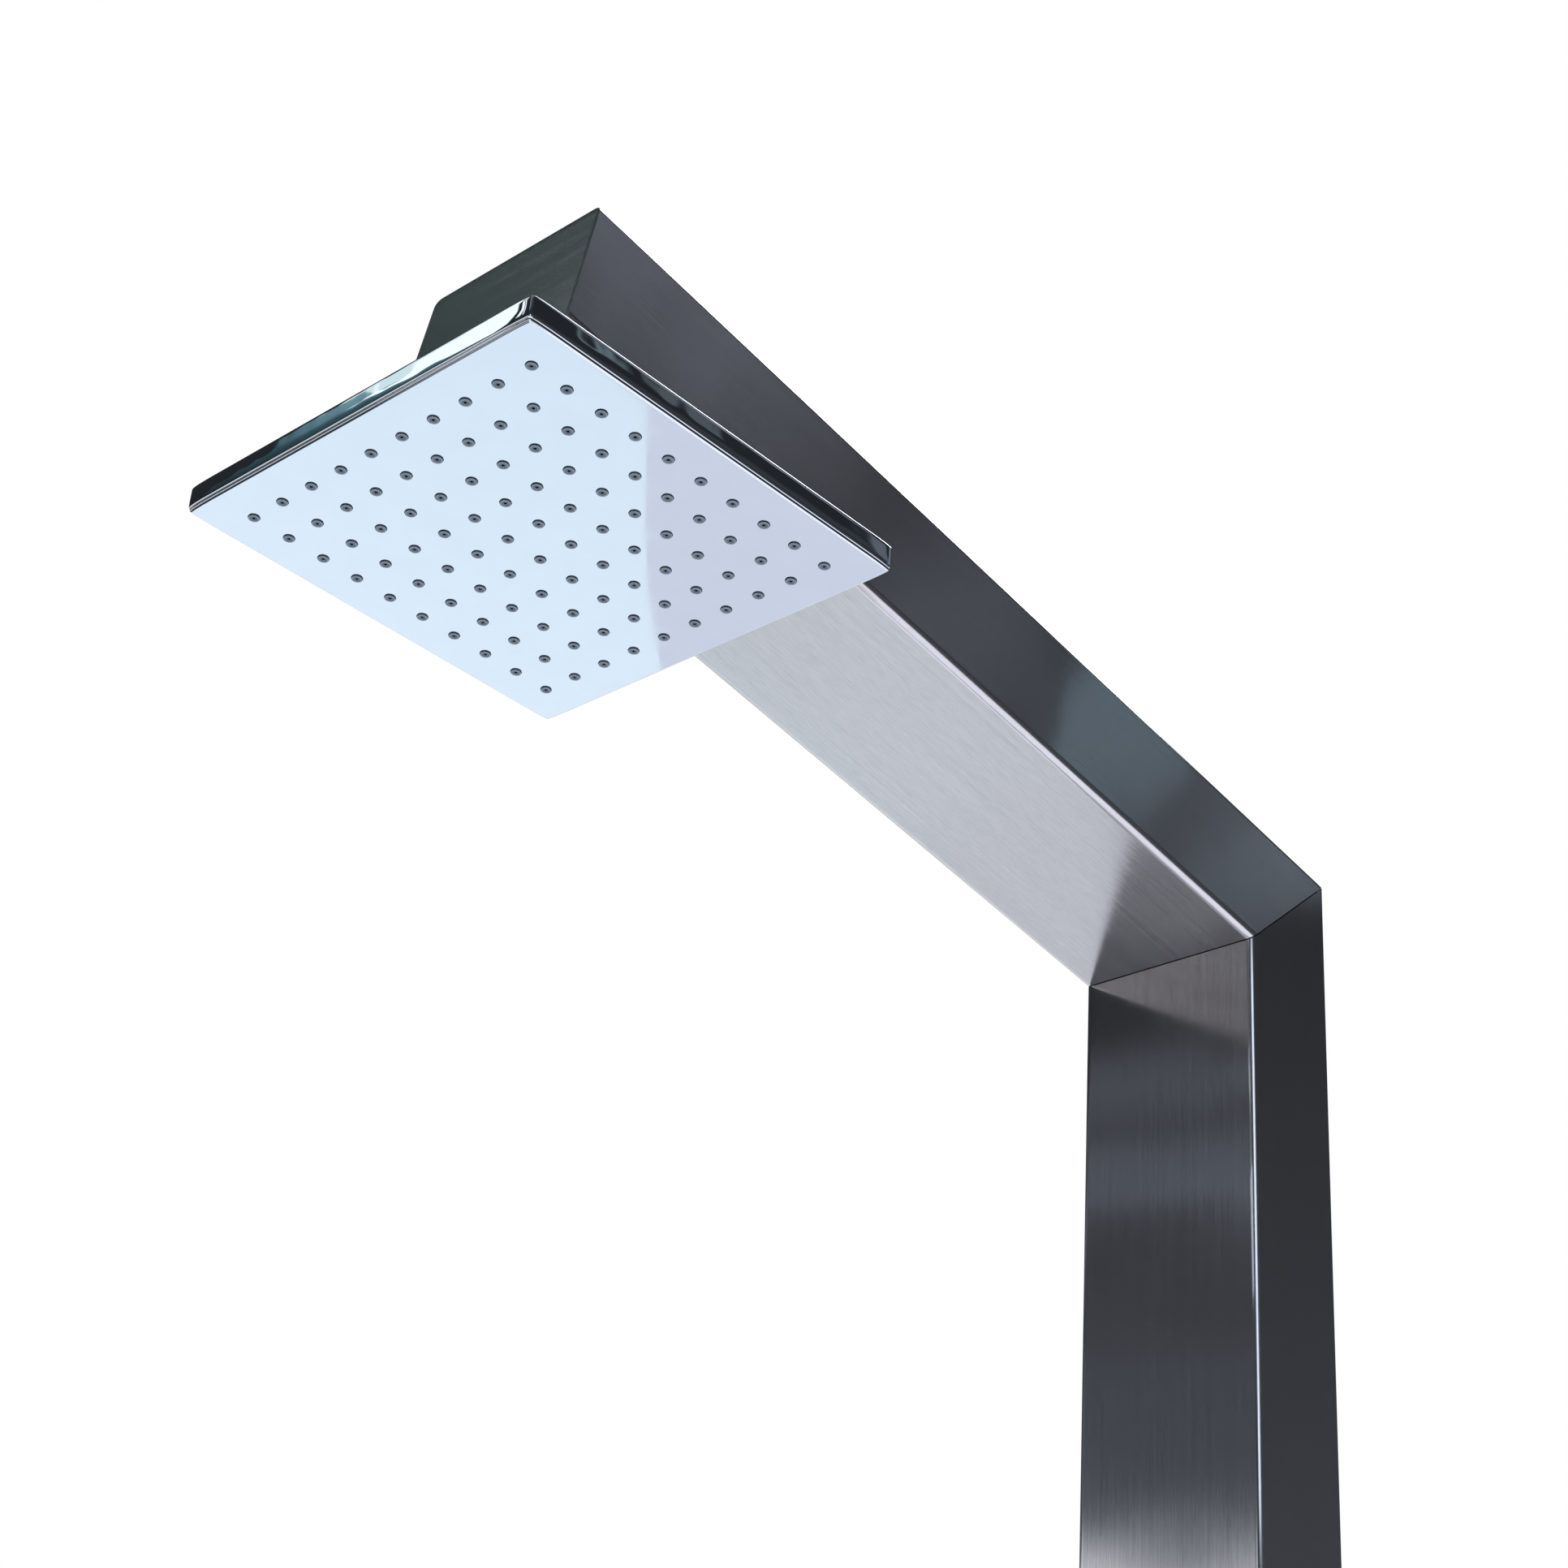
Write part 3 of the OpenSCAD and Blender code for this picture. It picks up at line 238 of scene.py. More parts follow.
def plain_metal(name, base, rough):
    """Machined, blasted or polished metal: fine grain, faint stains and uneven roughness."""
    mat, tree, shader = new_material(name)
    put(shader, Metallic=1.0)
    stains = noise(tree, coordinates(tree), scale=14, detail=4)
    grain = noise(tree, coordinates(tree), scale=900, detail=3)
    colour = two_shades(tree, stains, base, dark=0.93, light=1.05)
    tree.links.new(colour, shader.inputs["Base Color"])
    roughen(tree, shader, stains, rough)
    bump(tree, grain, shader, strength=0.15, distance=0.05 * MM)
    return mat


def chrome_plate(name, base, waves=9, depth=0.2 * MM, steep=0.25):
    """Mirror chrome on thin sheet: a faint slow waviness and a film of dried water."""
    mat, tree, shader = new_material(name)
    put(shader, Metallic=1.0)
    film = noise(tree, coordinates(tree), scale=60, detail=5)
    slow = noise(tree, coordinates(tree), scale=waves, detail=1)
    colour = two_shades(tree, film, base, dark=0.98, light=1, middle=(0.35, 0.65))
    tree.links.new(colour, shader.inputs["Base Color"])
    roughen(tree, shader, film, (0.015, 0.05), middle=(0.35, 0.7))
    bump(tree, slow, shader, steep, depth)
    return mat


def fine_grain(tree, shader, rough):
    """The grain of a moulded surface, in its roughness and its relief. Returns the grain."""
    grain = noise(tree, coordinates(tree), scale=1400, detail=2)
    roughen(tree, shader, grain, rough)
    bump(tree, grain, shader, strength=0.2, distance=0.03 * MM)
    return grain


def moulded(name, base, rough):
    """Moulded plastic, rubber or ceramic with its fine grain."""
    mat, tree, shader = new_material(name)
    cloud = noise(tree, coordinates(tree), scale=25, detail=3)
    colour = two_shades(tree, cloud, base, dark=0.9, light=1.08)
    tree.links.new(colour, shader.inputs["Base Color"])
    fine_grain(tree, shader, rough)
    return mat


BRAID_TURN = 0.7  # radians


def braided(name):
    """Stainless braid: two crossed sets of fine strands."""
    mat, tree, shader = new_material(name)
    put(shader, Metallic=1.0)
    strands = []
    for turn in (BRAID_TURN, -BRAID_TURN):
        wave = add(tree, "ShaderNodeTexWave", wave_type="BANDS", bands_direction="Z")
        put(wave, Scale=260, Distortion=0.4)
        tree.links.new(coordinates(tree, rotation=(turn, turn, 0)), wave.inputs["Vector"])
        strands.append(wave.outputs["Fac"])
    weave = maths(tree, "MAXIMUM", *strands)
    colour = ramp(tree, weave, ((0.2, (0.16, 0.17, 0.18)), (0.8, (0.62, 0.64, 0.67))))
    tree.links.new(colour, shader.inputs["Base Color"])
    roughen(tree, shader, weave, (0.5, 0.28), middle=(0, 1))
    bump(tree, weave, shader, strength=0.7, distance=0.4 * MM)
    return mat


def tip_silicone(name, base, unshaded_z, shaded_z):
    """Silicone, plain on the tips' undersides, with painted shade darkening it towards the holes.
    """
    mat, tree, shader = new_material(name)
    grain = fine_grain(tree, shader, (0.3, 0.42))
    # Painted shade: the tips' sides grow near black up towards the face, where they sit in the
    # holes
    ragged_z = plus(tree, axes(tree)[2], times(tree, minus(tree, grain, 0.5), 0.1 * MM))
    colour = ramp(tree, spread(tree, ragged_z, unshaded_z, shaded_z, 0, 1), (
        (0.0, base), (0.5, shade(base, 0.55)), (0.75, (0.03, 0.033, 0.04)),
        (1.0, (0.012, 0.013, 0.015))))
    tree.links.new(colour, shader.inputs["Base Color"])
    return mat


CHROME = (0.80, 0.85, 0.91)

column_steel = brushed_steel("column_steel", (0, 0, 1), (0, 0, 0))
arm_steel = brushed_steel("arm_steel", (0, -math.cos(ARM_RISE), math.sin(ARM_RISE)),
                          (QUARTER_TURN - ARM_RISE, 0, 0))
cap_steel = brushed_steel("cap_steel", (1, 0, 0), (0, QUARTER_TURN, 0))
plate_steel = plain_metal("plate_steel", (0.55, 0.56, 0.575), rough=(0.32, 0.46))
screw_steel = plain_metal("screw_steel", (0.52, 0.53, 0.55), rough=(0.22, 0.34))
inner_steel = plain_metal("inner_steel", (0.42, 0.43, 0.45), rough=(0.35, 0.5))
# Near black: painted shade for the knee's gap, through which the joiner is seen
joiner_gap_shade = plain_metal("joiner_gap_shade", (0.05, 0.05, 0.055), rough=(0.55, 0.7))
chrome = chrome_plate("chrome", CHROME)
shell_chrome = chrome_plate("shell_chrome", CHROME, waves=45, depth=0.28 * MM, steep=1)
face_chrome = chrome_plate("face_chrome", (0.77, 0.83, 0.92), waves=7, depth=0.3 * MM)
brass = plain_metal("brass", (0.70, 0.53, 0.25), rough=(0.22, 0.36))
rubber = moulded("rubber", (0.03, 0.03, 0.033), rough=(0.55, 0.75))
# Nozzle silicone, with painted shade on the tips' sides nearest the face
silicone = tip_silicone("silicone", (0.21, 0.27, 0.35),
                        unshaded_z=SPRAY_Z - 0.56 * MM, shaded_z=SPRAY_Z - 0.2 * MM)
white_plastic = moulded("white_plastic", (0.78, 0.78, 0.74), rough=(0.35, 0.5))
ceramic = moulded("ceramic", (0.85, 0.83, 0.78), rough=(0.12, 0.22))
braid = braided("braid")

NODES_BY_FINISH = (
    (column_steel, "column_tube"),
    (arm_steel, "arm_tube"),
    (cap_steel, "arm_end_cap"),
    (plate_steel, "base_plate"),
    (screw_steel, "foot_screws knee_screws hose_ferrules"),
    (joiner_gap_shade, "knee_joiner"),
    (inner_steel, "foot_sleeve nipple_washer filter_screen lever_stem pivot_pin grub_screw"),
    (brass, "valve_body clamp_ring cartridge_nut hose_nuts supply_nuts elbow_fitting"
            " nipple_locknut head_neck"),
    (rubber, "foam_gasket port_seals lever_plug hose_seals flange_seal head_gasket"),
    (chrome, "wall_plate dome_cover lever_handle arm_nipple swivel_ball ball_nut head_shell"),
    (face_chrome, "face_plate"),
    (white_plastic, "cartridge_base cartridge_housing disc_carrier cartridge_rotor"
                    " upper_ball_seat lower_ball_seat flow_regulator"),
    (ceramic, "fixed_disc moving_disc"),
    (braid, "hot_hose cold_hose riser_hose"),
    (silicone, "nozzle_mat"),
)
FINISH = {node: finish for finish, nodes in NODES_BY_FINISH for node in nodes.split()}
for name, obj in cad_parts.items():
    obj.data.materials.clear()
    obj.data.materials.append(FINISH[name])


# Shower head: the rolled shell, the face plate and the spray nozzles, in millimetres

HEAD_HALF = 100
CORNER_R = 1.5
LEAST_CORNER_R = 0.4
CORNER_STEPS = 8
EASE = 16.0  # how far from the corner a side starts to draw in
EASE_IN = 0.4  # how far in it comes
EASE_STEPS = 6
WELD = 0.0005  # points this near are one
LEVEL = 0.01  # heights this near are one

SHELL_TOP = 12.0
SHELL_ROOF_Z = 10.5
SHELL_WALL = 2.0
SPIGOT_R = 10.05
SPIGOT_SIDES = 64

FACE_T = 2.0
NOZZLES = 10
NOZZLE_PITCH = 17.8667
HOLE_R = 2.5
HOLE_SIDES = 32
CHAMFER = 0.06

MAT_T = 1.6
MAT_INSET = 6.5  # the shell's wall, its gasket and a gap
TIP_ROOT = 0.4  # how far the tips reach into the mat
TIP_SIDES = 24


def rounded_square(inset, z):
    """Points round the head's outline, set in from its side.

    Drawn sheet eases into its corners: over the last stretch each side draws in a little and
    turns.
    """
    half = HEAD_HALF - inset
    corner = max(CORNER_R - inset, LEAST_CORNER_R)
    side = []
    for step in range(EASE_STEPS):
        left = 1 - step / EASE_STEPS
        side.append((half - corner - EASE * left, EASE_IN * (1 - left) ** 3))
    start = math.atan(3 * EASE_IN / EASE)
    reach = corner + EASE_IN
    curve = []
    for step in range(CORNER_STEPS + 1):
        a = start + (QUARTER_TURN - 2 * start) * step / CORNER_STEPS
        curve.append((half - EASE_IN - corner * (math.cos(start) - math.cos(a)),
                      half - reach + corner * (math.sin(a) - math.sin(start))))
    before = [(half - x, along) for along, x in side]
    after = [(along, half - x) for along, x in side[::-1]]
    points = []
    for turn in range(4):
        c, k = round(math.cos(turn * QUARTER_TURN)), round(math.sin(turn * QUARTER_TURN))
        points += [(x * c - y * k, x * k + y * c, z) for x, y in before + curve + after]
    return points


def circle(radius, z, sides, x=0.0, y=0.0):
    turn = 2 * math.pi / sides
    return [(x + radius * math.cos(i * turn), y + radius * math.sin(i * turn), z)
            for i in range(sides)]


def loft(bm, rings):
    """Walls between rings of points, in order. Returns the rings' vertices."""
    made = [[bm.verts.new(p) for p in ring] for ring in rings]
    for low, high in zip(made, made[1:]):
        for i in range(len(low)):
            j = (i + 1) % len(low)
            bm.faces.new((low[i], low[j], high[j], high[i]))
    return made


def ring_edges(bm, ring):
    return [bm.edges.get((a, b)) or bm.edges.new((a, b)) for a, b in zip(ring, ring[1:] + ring[:1])]


def fill_between(bm, outer, inner):
    """A flat face between two rings."""
    bmesh.ops.triangle_fill(bm, use_beauty=True,
                            edges=ring_edges(bm, outer) + ring_edges(bm, inner))


def arc(inset, z, radius, start, stop, steps):
    """(inset, z) along an arc round a centre, from a tilt below the horizontal to another.

    The tilts are in degrees, and the arc lies on the side of its centre that faces outwards.
    """
    tilts = [math.radians(start + (stop - start) * i / steps) for i in range(steps + 1)]
    return [(inset - radius * math.cos(t), z - radius * math.sin(t)) for t in tilts]


def finish_piece(bm, name, material, sharp=35):
    """The mesh in metres, at the head, smooth-shaded with sharp edges over an angle."""
    bmesh.ops.remove_doubles(bm, verts=bm.verts, dist=WELD)
    bmesh.ops.recalc_face_normals(bm, faces=bm.faces)
    for face in bm.faces:
        face.smooth = True
    limit = math.radians(sharp)
    for edge in bm.edges:
        edge.smooth = len(edge.link_faces) == 2 and edge.calc_face_angle(0) < limit
    place = Matrix.Translation(HEAD_AT) @ Matrix.Scale(MM, 4)
    bmesh.ops.transform(bm, matrix=place, verts=bm.verts)
    mesh = bpy.data.meshes.new(name)
    bm.to_mesh(mesh)
    bm.free()
    piece = bpy.data.objects.new(name, mesh)
    bpy.context.collection.objects.link(piece)
    mesh.materials.append(material)
    return piece


def shell_profile():
    """(inset, z) from the shell's top over its edge and down its side wall to the lip's end."""
    top_r, belly, belly_z, belly_r, belly_parts = 1.6, 0.008, 6.15, 55, 5
    shoulder = SHELL_TOP - top_r
    profile = [(inset, SHELL_TOP) for inset in (3.4, 2.2)]
    profile += arc(belly + top_r, shoulder, top_r, -90, 0, 8)
    for part in range(belly_parts - 1, 0, -1):
        profile.append((belly * (part / belly_parts) ** 2,
                        belly_z + (shoulder - belly_z) * part / belly_parts))
    profile += arc(belly_r, belly_z, belly_r, 0, 4, 6)
    # The rolled lip: an arc that turns in, and a tight one that ends level
    for radius, start, stop, steps in ((1.5, 4, 45, 10), (0.12, 45, 90, 4)):
        inset, z = profile[-1]
        tilt = math.radians(start)
        centre = inset + radius * math.cos(tilt), z + radius * math.sin(tilt)
        profile += arc(*centre, radius, start, stop, steps)[1:]
    return profile


def make_shell():
    """Deep-drawn shell: a tight upper edge, side walls that belly a little and turn in, a lip."""
    outside = shell_profile()
    inside = [(SHELL_WALL, outside[-1][1]), (SHELL_WALL, SHELL_ROOF_Z)]
    bm = bmesh.new()
    rings = loft(bm, [rounded_square(i, z) for i, z in outside + inside])
    hole = loft(bm, [circle(SPIGOT_R, z, SPIGOT_SIDES) for z in (SHELL_TOP, SHELL_ROOF_Z)])
    fill_between(bm, rings[0], hole[0])
    fill_between(bm, rings[-1], hole[1])
    return finish_piece(bm, "rolled_shell", shell_chrome)


def nozzle_centres():
    start = -(NOZZLES - 1) / 2 * NOZZLE_PITCH
    steps = [start + i * NOZZLE_PITCH for i in range(NOZZLES)]
    return [(x, y) for x in steps for y in steps]


def cell_square(x, y, z):
    """Points round a square cell, one for each side of the hole in it."""
    half, points = NOZZLE_PITCH / 2, []
    for i in range(HOLE_SIDES):
        a = 2 * math.pi * i / HOLE_SIDES
        reach = half / max(abs(math.cos(a)), abs(math.sin(a)))
        points.append((x + reach * math.cos(a), y + reach * math.sin(a), z))
    return points


def make_face():
    """Spray face with a soft outer edge and a hundred chamfered holes."""
    bm = bmesh.new()
    for x, y in nozzle_centres():
        loft(bm, [cell_square(x, y, 0), circle(HOLE_R + CHAMFER, 0, HOLE_SIDES, x, y),
                  circle(HOLE_R, CHAMFER, HOLE_SIDES, x, y),
                  circle(HOLE_R, FACE_T, HOLE_SIDES, x, y), cell_square(x, y, FACE_T)])
    bmesh.ops.remove_doubles(bm, verts=bm.verts, dist=WELD)
    borders = [[e for e in bm.edges if e.is_boundary and abs(e.verts[0].co.z - z) < LEVEL]
               for z in (0, FACE_T)]
    # The flat's margin, the rounded rim, and the step that lies in the shell
    flat_from, margin, rim_in, rim_r = 2.6, 0.05, 0.68, 0.95
    step_z, bevel_in, bevel_z = 1.3, 0.1, 0.12
    profile = [(flat_from, 0), (rim_in + rim_r + margin, 0)]
    profile += arc(rim_in + rim_r, rim_r, rim_r, 90, 4, 9)
    profile += [(rim_in, step_z - bevel_z), (rim_in + bevel_in, step_z), (SHELL_WALL, step_z),
                (SHELL_WALL, FACE_T)]
    outer = loft(bm, [rounded_square(i, z) for i, z in profile])
    for border, ring in zip(borders, (outer[0], outer[-1])):
        bmesh.ops.triangle_fill(bm, use_beauty=True, edges=border + ring_edges(bm, ring))
    return finish_piece(bm, "spray_face", face_chrome, sharp=30)


# (radius, z) of a tip from the mat down its side, over its rim and dish, and up its jet
TIP_PROFILE = (
    (2.42, FACE_T + TIP_ROOT), (2.42, 0.3), (2.39, -0.2), (2.36, -0.46),
    (2.26, -0.6), (2.06, -0.68), (1.8, -0.7), (1.62, -0.66),
    (1.52, -0.53), (1.44, -0.42), (1.2, -0.38), (0.97, -0.43),
    (0.84, -0.45), (0.7, -0.39), (0.62, -0.25), (0.62, 1.2),
)


def make_nozzles():
    """Silicone mat with a hundred tapered tips, each with a round rim, a dish and a jet."""
    bm = bmesh.new()
    half = HEAD_HALF - MAT_INSET
    slab = [bm.verts.new((x * half, y * half, z)) for z in (FACE_T, FACE_T + MAT_T)
            for x, y in ((1, 1), (-1, 1), (-1, -1), (1, -1))]
    bm.faces.new(slab[3::-1])
    bm.faces.new(slab[4:])
    for i in range(4):
        j = (i + 1) % 4
        bm.faces.new((slab[i], slab[j], slab[4 + j], slab[4 + i]))
    for x, y in nozzle_centres():
        rings = loft(bm, [circle(r, z, TIP_SIDES, x, y) for r, z in TIP_PROFILE])
        bm.faces.new(rings[0][::-1])
        bm.faces.new(rings[-1])
    return finish_piece(bm, "spray_nozzles", silicone, sharp=60)


def dress_head():
    for piece, node, slot in ((make_shell(), "head_shell", "chrome"),
                              (make_face(), "face_plate", "chrome"),
                              (make_nozzles(), "nozzle_mat", "silicone")):
        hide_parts(node)
        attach(piece, "head")


dress_head()


# Studio: world, floor and lamps

def seen_directly(tree):
    """1 for camera, glossy and transmission rays, 0 for the rays that carry light."""
    path = add(tree, "ShaderNodeLightPath")
    first = maths(tree, "MAXIMUM", path.outputs["Is Camera Ray"], path.outputs["Is Glossy Ray"])
    return maths(tree, "MAXIMUM", first, path.outputs["Is Transmission Ray"])


def emission(tree, colour):
    """A glow of strength 1 in a colour, a socket or (r, g, b)."""
    node = put(add(tree, "ShaderNodeEmission"), Strength=1.0)
    if isinstance(colour, tuple):
        put(node, Color=(*colour, 1))
    else:
        tree.links.new(colour, node.inputs["Color"])
    return node.outputs[0]


def make_world():
    world = bpy.data.worlds.new("studio")
    bpy.context.scene.world = world
    world.use_nodes = True
    tree = world.node_tree
    tree.nodes.clear()
    light = put(add(tree, "ShaderNodeBackground"), Color=(0.93, 0.96, 1, 1), Strength=0.55)
    white = put(add(tree, "ShaderNodeBackground"), Color=(1, 1, 1, 1), Strength=1.0)
    surface = mix_shaders(tree, seen_directly(tree), light.outputs[0], white.outputs[0])
    tree.links.new(surface, add(tree, "ShaderNodeOutputWorld").inputs["Surface"])


def make_floor():
    """Pale floor that turns into the white background between two distances."""
    fade_from, fade_to = 2.0, 6.0
    bpy.ops.mesh.primitive_circle_add(vertices=96, radius=30, fill_type="NGON")
    floor = bpy.context.object
    floor.name = "floor"
    mat, tree, shader = new_material("floor")
    grain = noise(tree, coordinates(tree), scale=60)
    colour = ramp(tree, grain, ((0.2, (0.86, 0.88, 0.90)), (0.8, (0.90, 0.91, 0.93))))
    tree.links.new(colour, shader.inputs["Base Color"])
    put(shader, Roughness=0.7, Specular_IOR_Level=0.2)
    distance = add(tree, "ShaderNodeVectorMath", operation="LENGTH")
    tree.links.new(coordinates(tree), distance.inputs[0])
    far = spread(tree, distance.outputs["Value"], fade_from, fade_to, 0, 1)
    blend = times(tree, far, seen_directly(tree))
    surface = mix_shaders(tree, blend, shader.outputs[0], emission(tree, (1, 1, 1)))
    tree.links.new(surface, tree.nodes["Material Output"].inputs["Surface"])
    floor.data.materials.append(mat)


def area_lamp(name, place, target, size, power):
    data = bpy.data.lights.new(name, "AREA")
    data.shape = "SQUARE"
    data.size = size
    data.energy = power
    lamp = bpy.data.objects.new(name, data)
    bpy.context.collection.objects.link(lamp)
    lamp.location = place
    towards = Vector(target) - Vector(place)
    lamp.rotation_euler = towards.to_track_quat("-Z", "Y").to_euler()
    lamp.visible_glossy = False


# Hall: the dark dome that the metal mirrors. A place on it is (azimuth, height): degrees from +Y
# towards +X, and the sine of the elevation, both seen from the dome's middle.

HALL_R = 4
HALL_AT = (0, -0.3, 2.1)

# Its soft edges lie outside its half sizes. A patch without a colour is painted by a ramp.
Patch = namedtuple("Patch", "place half_size soft colour", defaults=(None,))


def grey(value):
    """A slightly cold grey."""
    return (value * 0.9, value, value * 1.18)


def greys(*stops):
    return tuple((place, grey(value)) for place, value in stops)


# By Hall.front_level: soft bands, dark between
FRONT_WALL = greys(
    (0.0, 0.35), (0.19, 0.35), (0.20, 0.17), (0.213, 0.1), (0.235, 0.07), (0.27, 0.068),
    (0.31, 0.038), (0.338, 0.038), (0.352, 0.12), (0.375, 0.105), (0.39, 0.045), (0.402, 0.075),
    (0.413, 0.11), (0.422, 0.04), (0.434, 0.01), (0.50, 0.02), (0.82, 0.03), (1.0, 0.2))
# By height: dark, and paler in its upper part
BACK_WALL = greys(
    (0.0, 0.09), (0.17, 0.05), (0.30, 0.03), (0.42, 0.016), (0.46, 0.03), (0.52, 0.045),
    (0.56, 0.02), (0.70, 0.02), (0.82, 0.05), (1.0, 0.2))
BACK_WALL_AZ = 30
BANDS_AZ = -142.4  # where the height of a band is its level
BANDS_REACH = 8  # how far to each side the low bands climb, in degrees
# Across the slanting teal glass: a dark wall that grows paler, the pane, and a dark edge
TEAL_GLASS = (
    (0.0, (0.245, 0.285, 0.335)), (0.12, (0.20, 0.235, 0.275)), (0.25, (0.165, 0.195, 0.225)),
    (0.32, (0.095, 0.105, 0.125)), (0.481, (0.08, 0.085, 0.10)), (0.499, (0.14, 0.185, 0.22)),
    (0.855, (0.14, 0.19, 0.225)), (0.875, (0.09, 0.095, 0.11)), (1.0, (0.09, 0.095, 0.11)))
# Up the pane under the window
WINDOW_PANE = (
    (0.0, (0.02, 0.03, 0.035)), (0.27, (0.03, 0.06, 0.07)), (0.43, (0.04, 0.09, 0.11)),
    (0.56, (0.12, 0.22, 0.26)), (0.645, (0.17, 0.31, 0.35)), (0.66, (0.75, 0.9, 0.92)))
WINDOW_WHITE = (1.15, 1.2, 1.22)

PALE_STRETCH = Patch((52.0, 0.6), (7.3, 0.5), (2.5, 0.1), (0.21, 0.225, 0.26))
GLASS = Patch((33.0, 0.5455), (8.0, 0.1045), (3.0, 0.005))
PANE = Patch((-131.4, 0.59), (5.2, 0.12), (0.4, 0.004))
WINDOW = Patch((-133.1, 0.6), (3.3, 0.105), (0.4, 0.003), WINDOW_WHITE)
PATCHES = (
    # Rest of the window, which the eased end of the head's wall draws into narrow stripes
    Patch((-139.5, 0.62), (0.7, 0.06), (0.25, 0.01), WINDOW_WHITE),
    Patch((-142.0, 0.62), (0.6, 0.06), (0.25, 0.01), (1.0, 1.05, 1.1)),
    # Faint light on the back wall
    Patch((54.2, 0.622), (0.1, 0.008), (0.6, 0.012), (0.13, 0.17, 0.185)),
    Patch((50.9, 0.605), (0.6, 0.015), (0.8, 0.012), (0.09, 0.10, 0.115)),
    Patch((41.2, 0.54), (2.8, 0.03), (1.5, 0.015), (0.12, 0.13, 0.155)),
    # Grey-green wall that the arm's end mirrors, pale at its foot
    Patch((-117.0, 0.24), (8.0, 0.036), (5.0, 0.005), (0.095, 0.13, 0.137)),
    Patch((-116.0, 0.197), (3.0, 0.004), (2.0, 0.004), (0.36, 0.37, 0.39)),
    # Grey-green wall higher up
    Patch((-117.0, 0.74), (7.0, 0.06), (5.0, 0.03), (0.022, 0.042, 0.038)),
    # Stripe that the head's round corner mirrors
    Patch((172.0, 0.605), (2.5, 0.05), (1.5, 0.02), (0.4, 0.5, 0.47)),
    # Sky behind the object, which draws the light lines along its upper edges
    Patch((-16.0, 0.79), (15.0, 0.11), (4.0, 0.03), (5.0, 5.1, 5.2)),
    # Lamp behind the camera's right, in the rounded edges
    Patch((136.0, 0.33), (9.0, 0.12), (6.0, 0.03), (1.5, 1.65, 1.9)),
)
# Foot of the front wall, which the column's top mirrors by way of the arm
MAUVE_FOOT = Patch((-147.0, -0.155), (30.0, 0.095), (8.0, 0.02), (0.30, 0.265, 0.27))
MAUVE_SHADE = (0.13, 0.12, 0.125)
# Foot of the back wall, which keeps the light line along the arm's edge fine
DARK_FOOT = Patch((58.0, -0.1), (18.0, 0.26), (4.0, 0.04), (0.05, 0.055, 0.065))


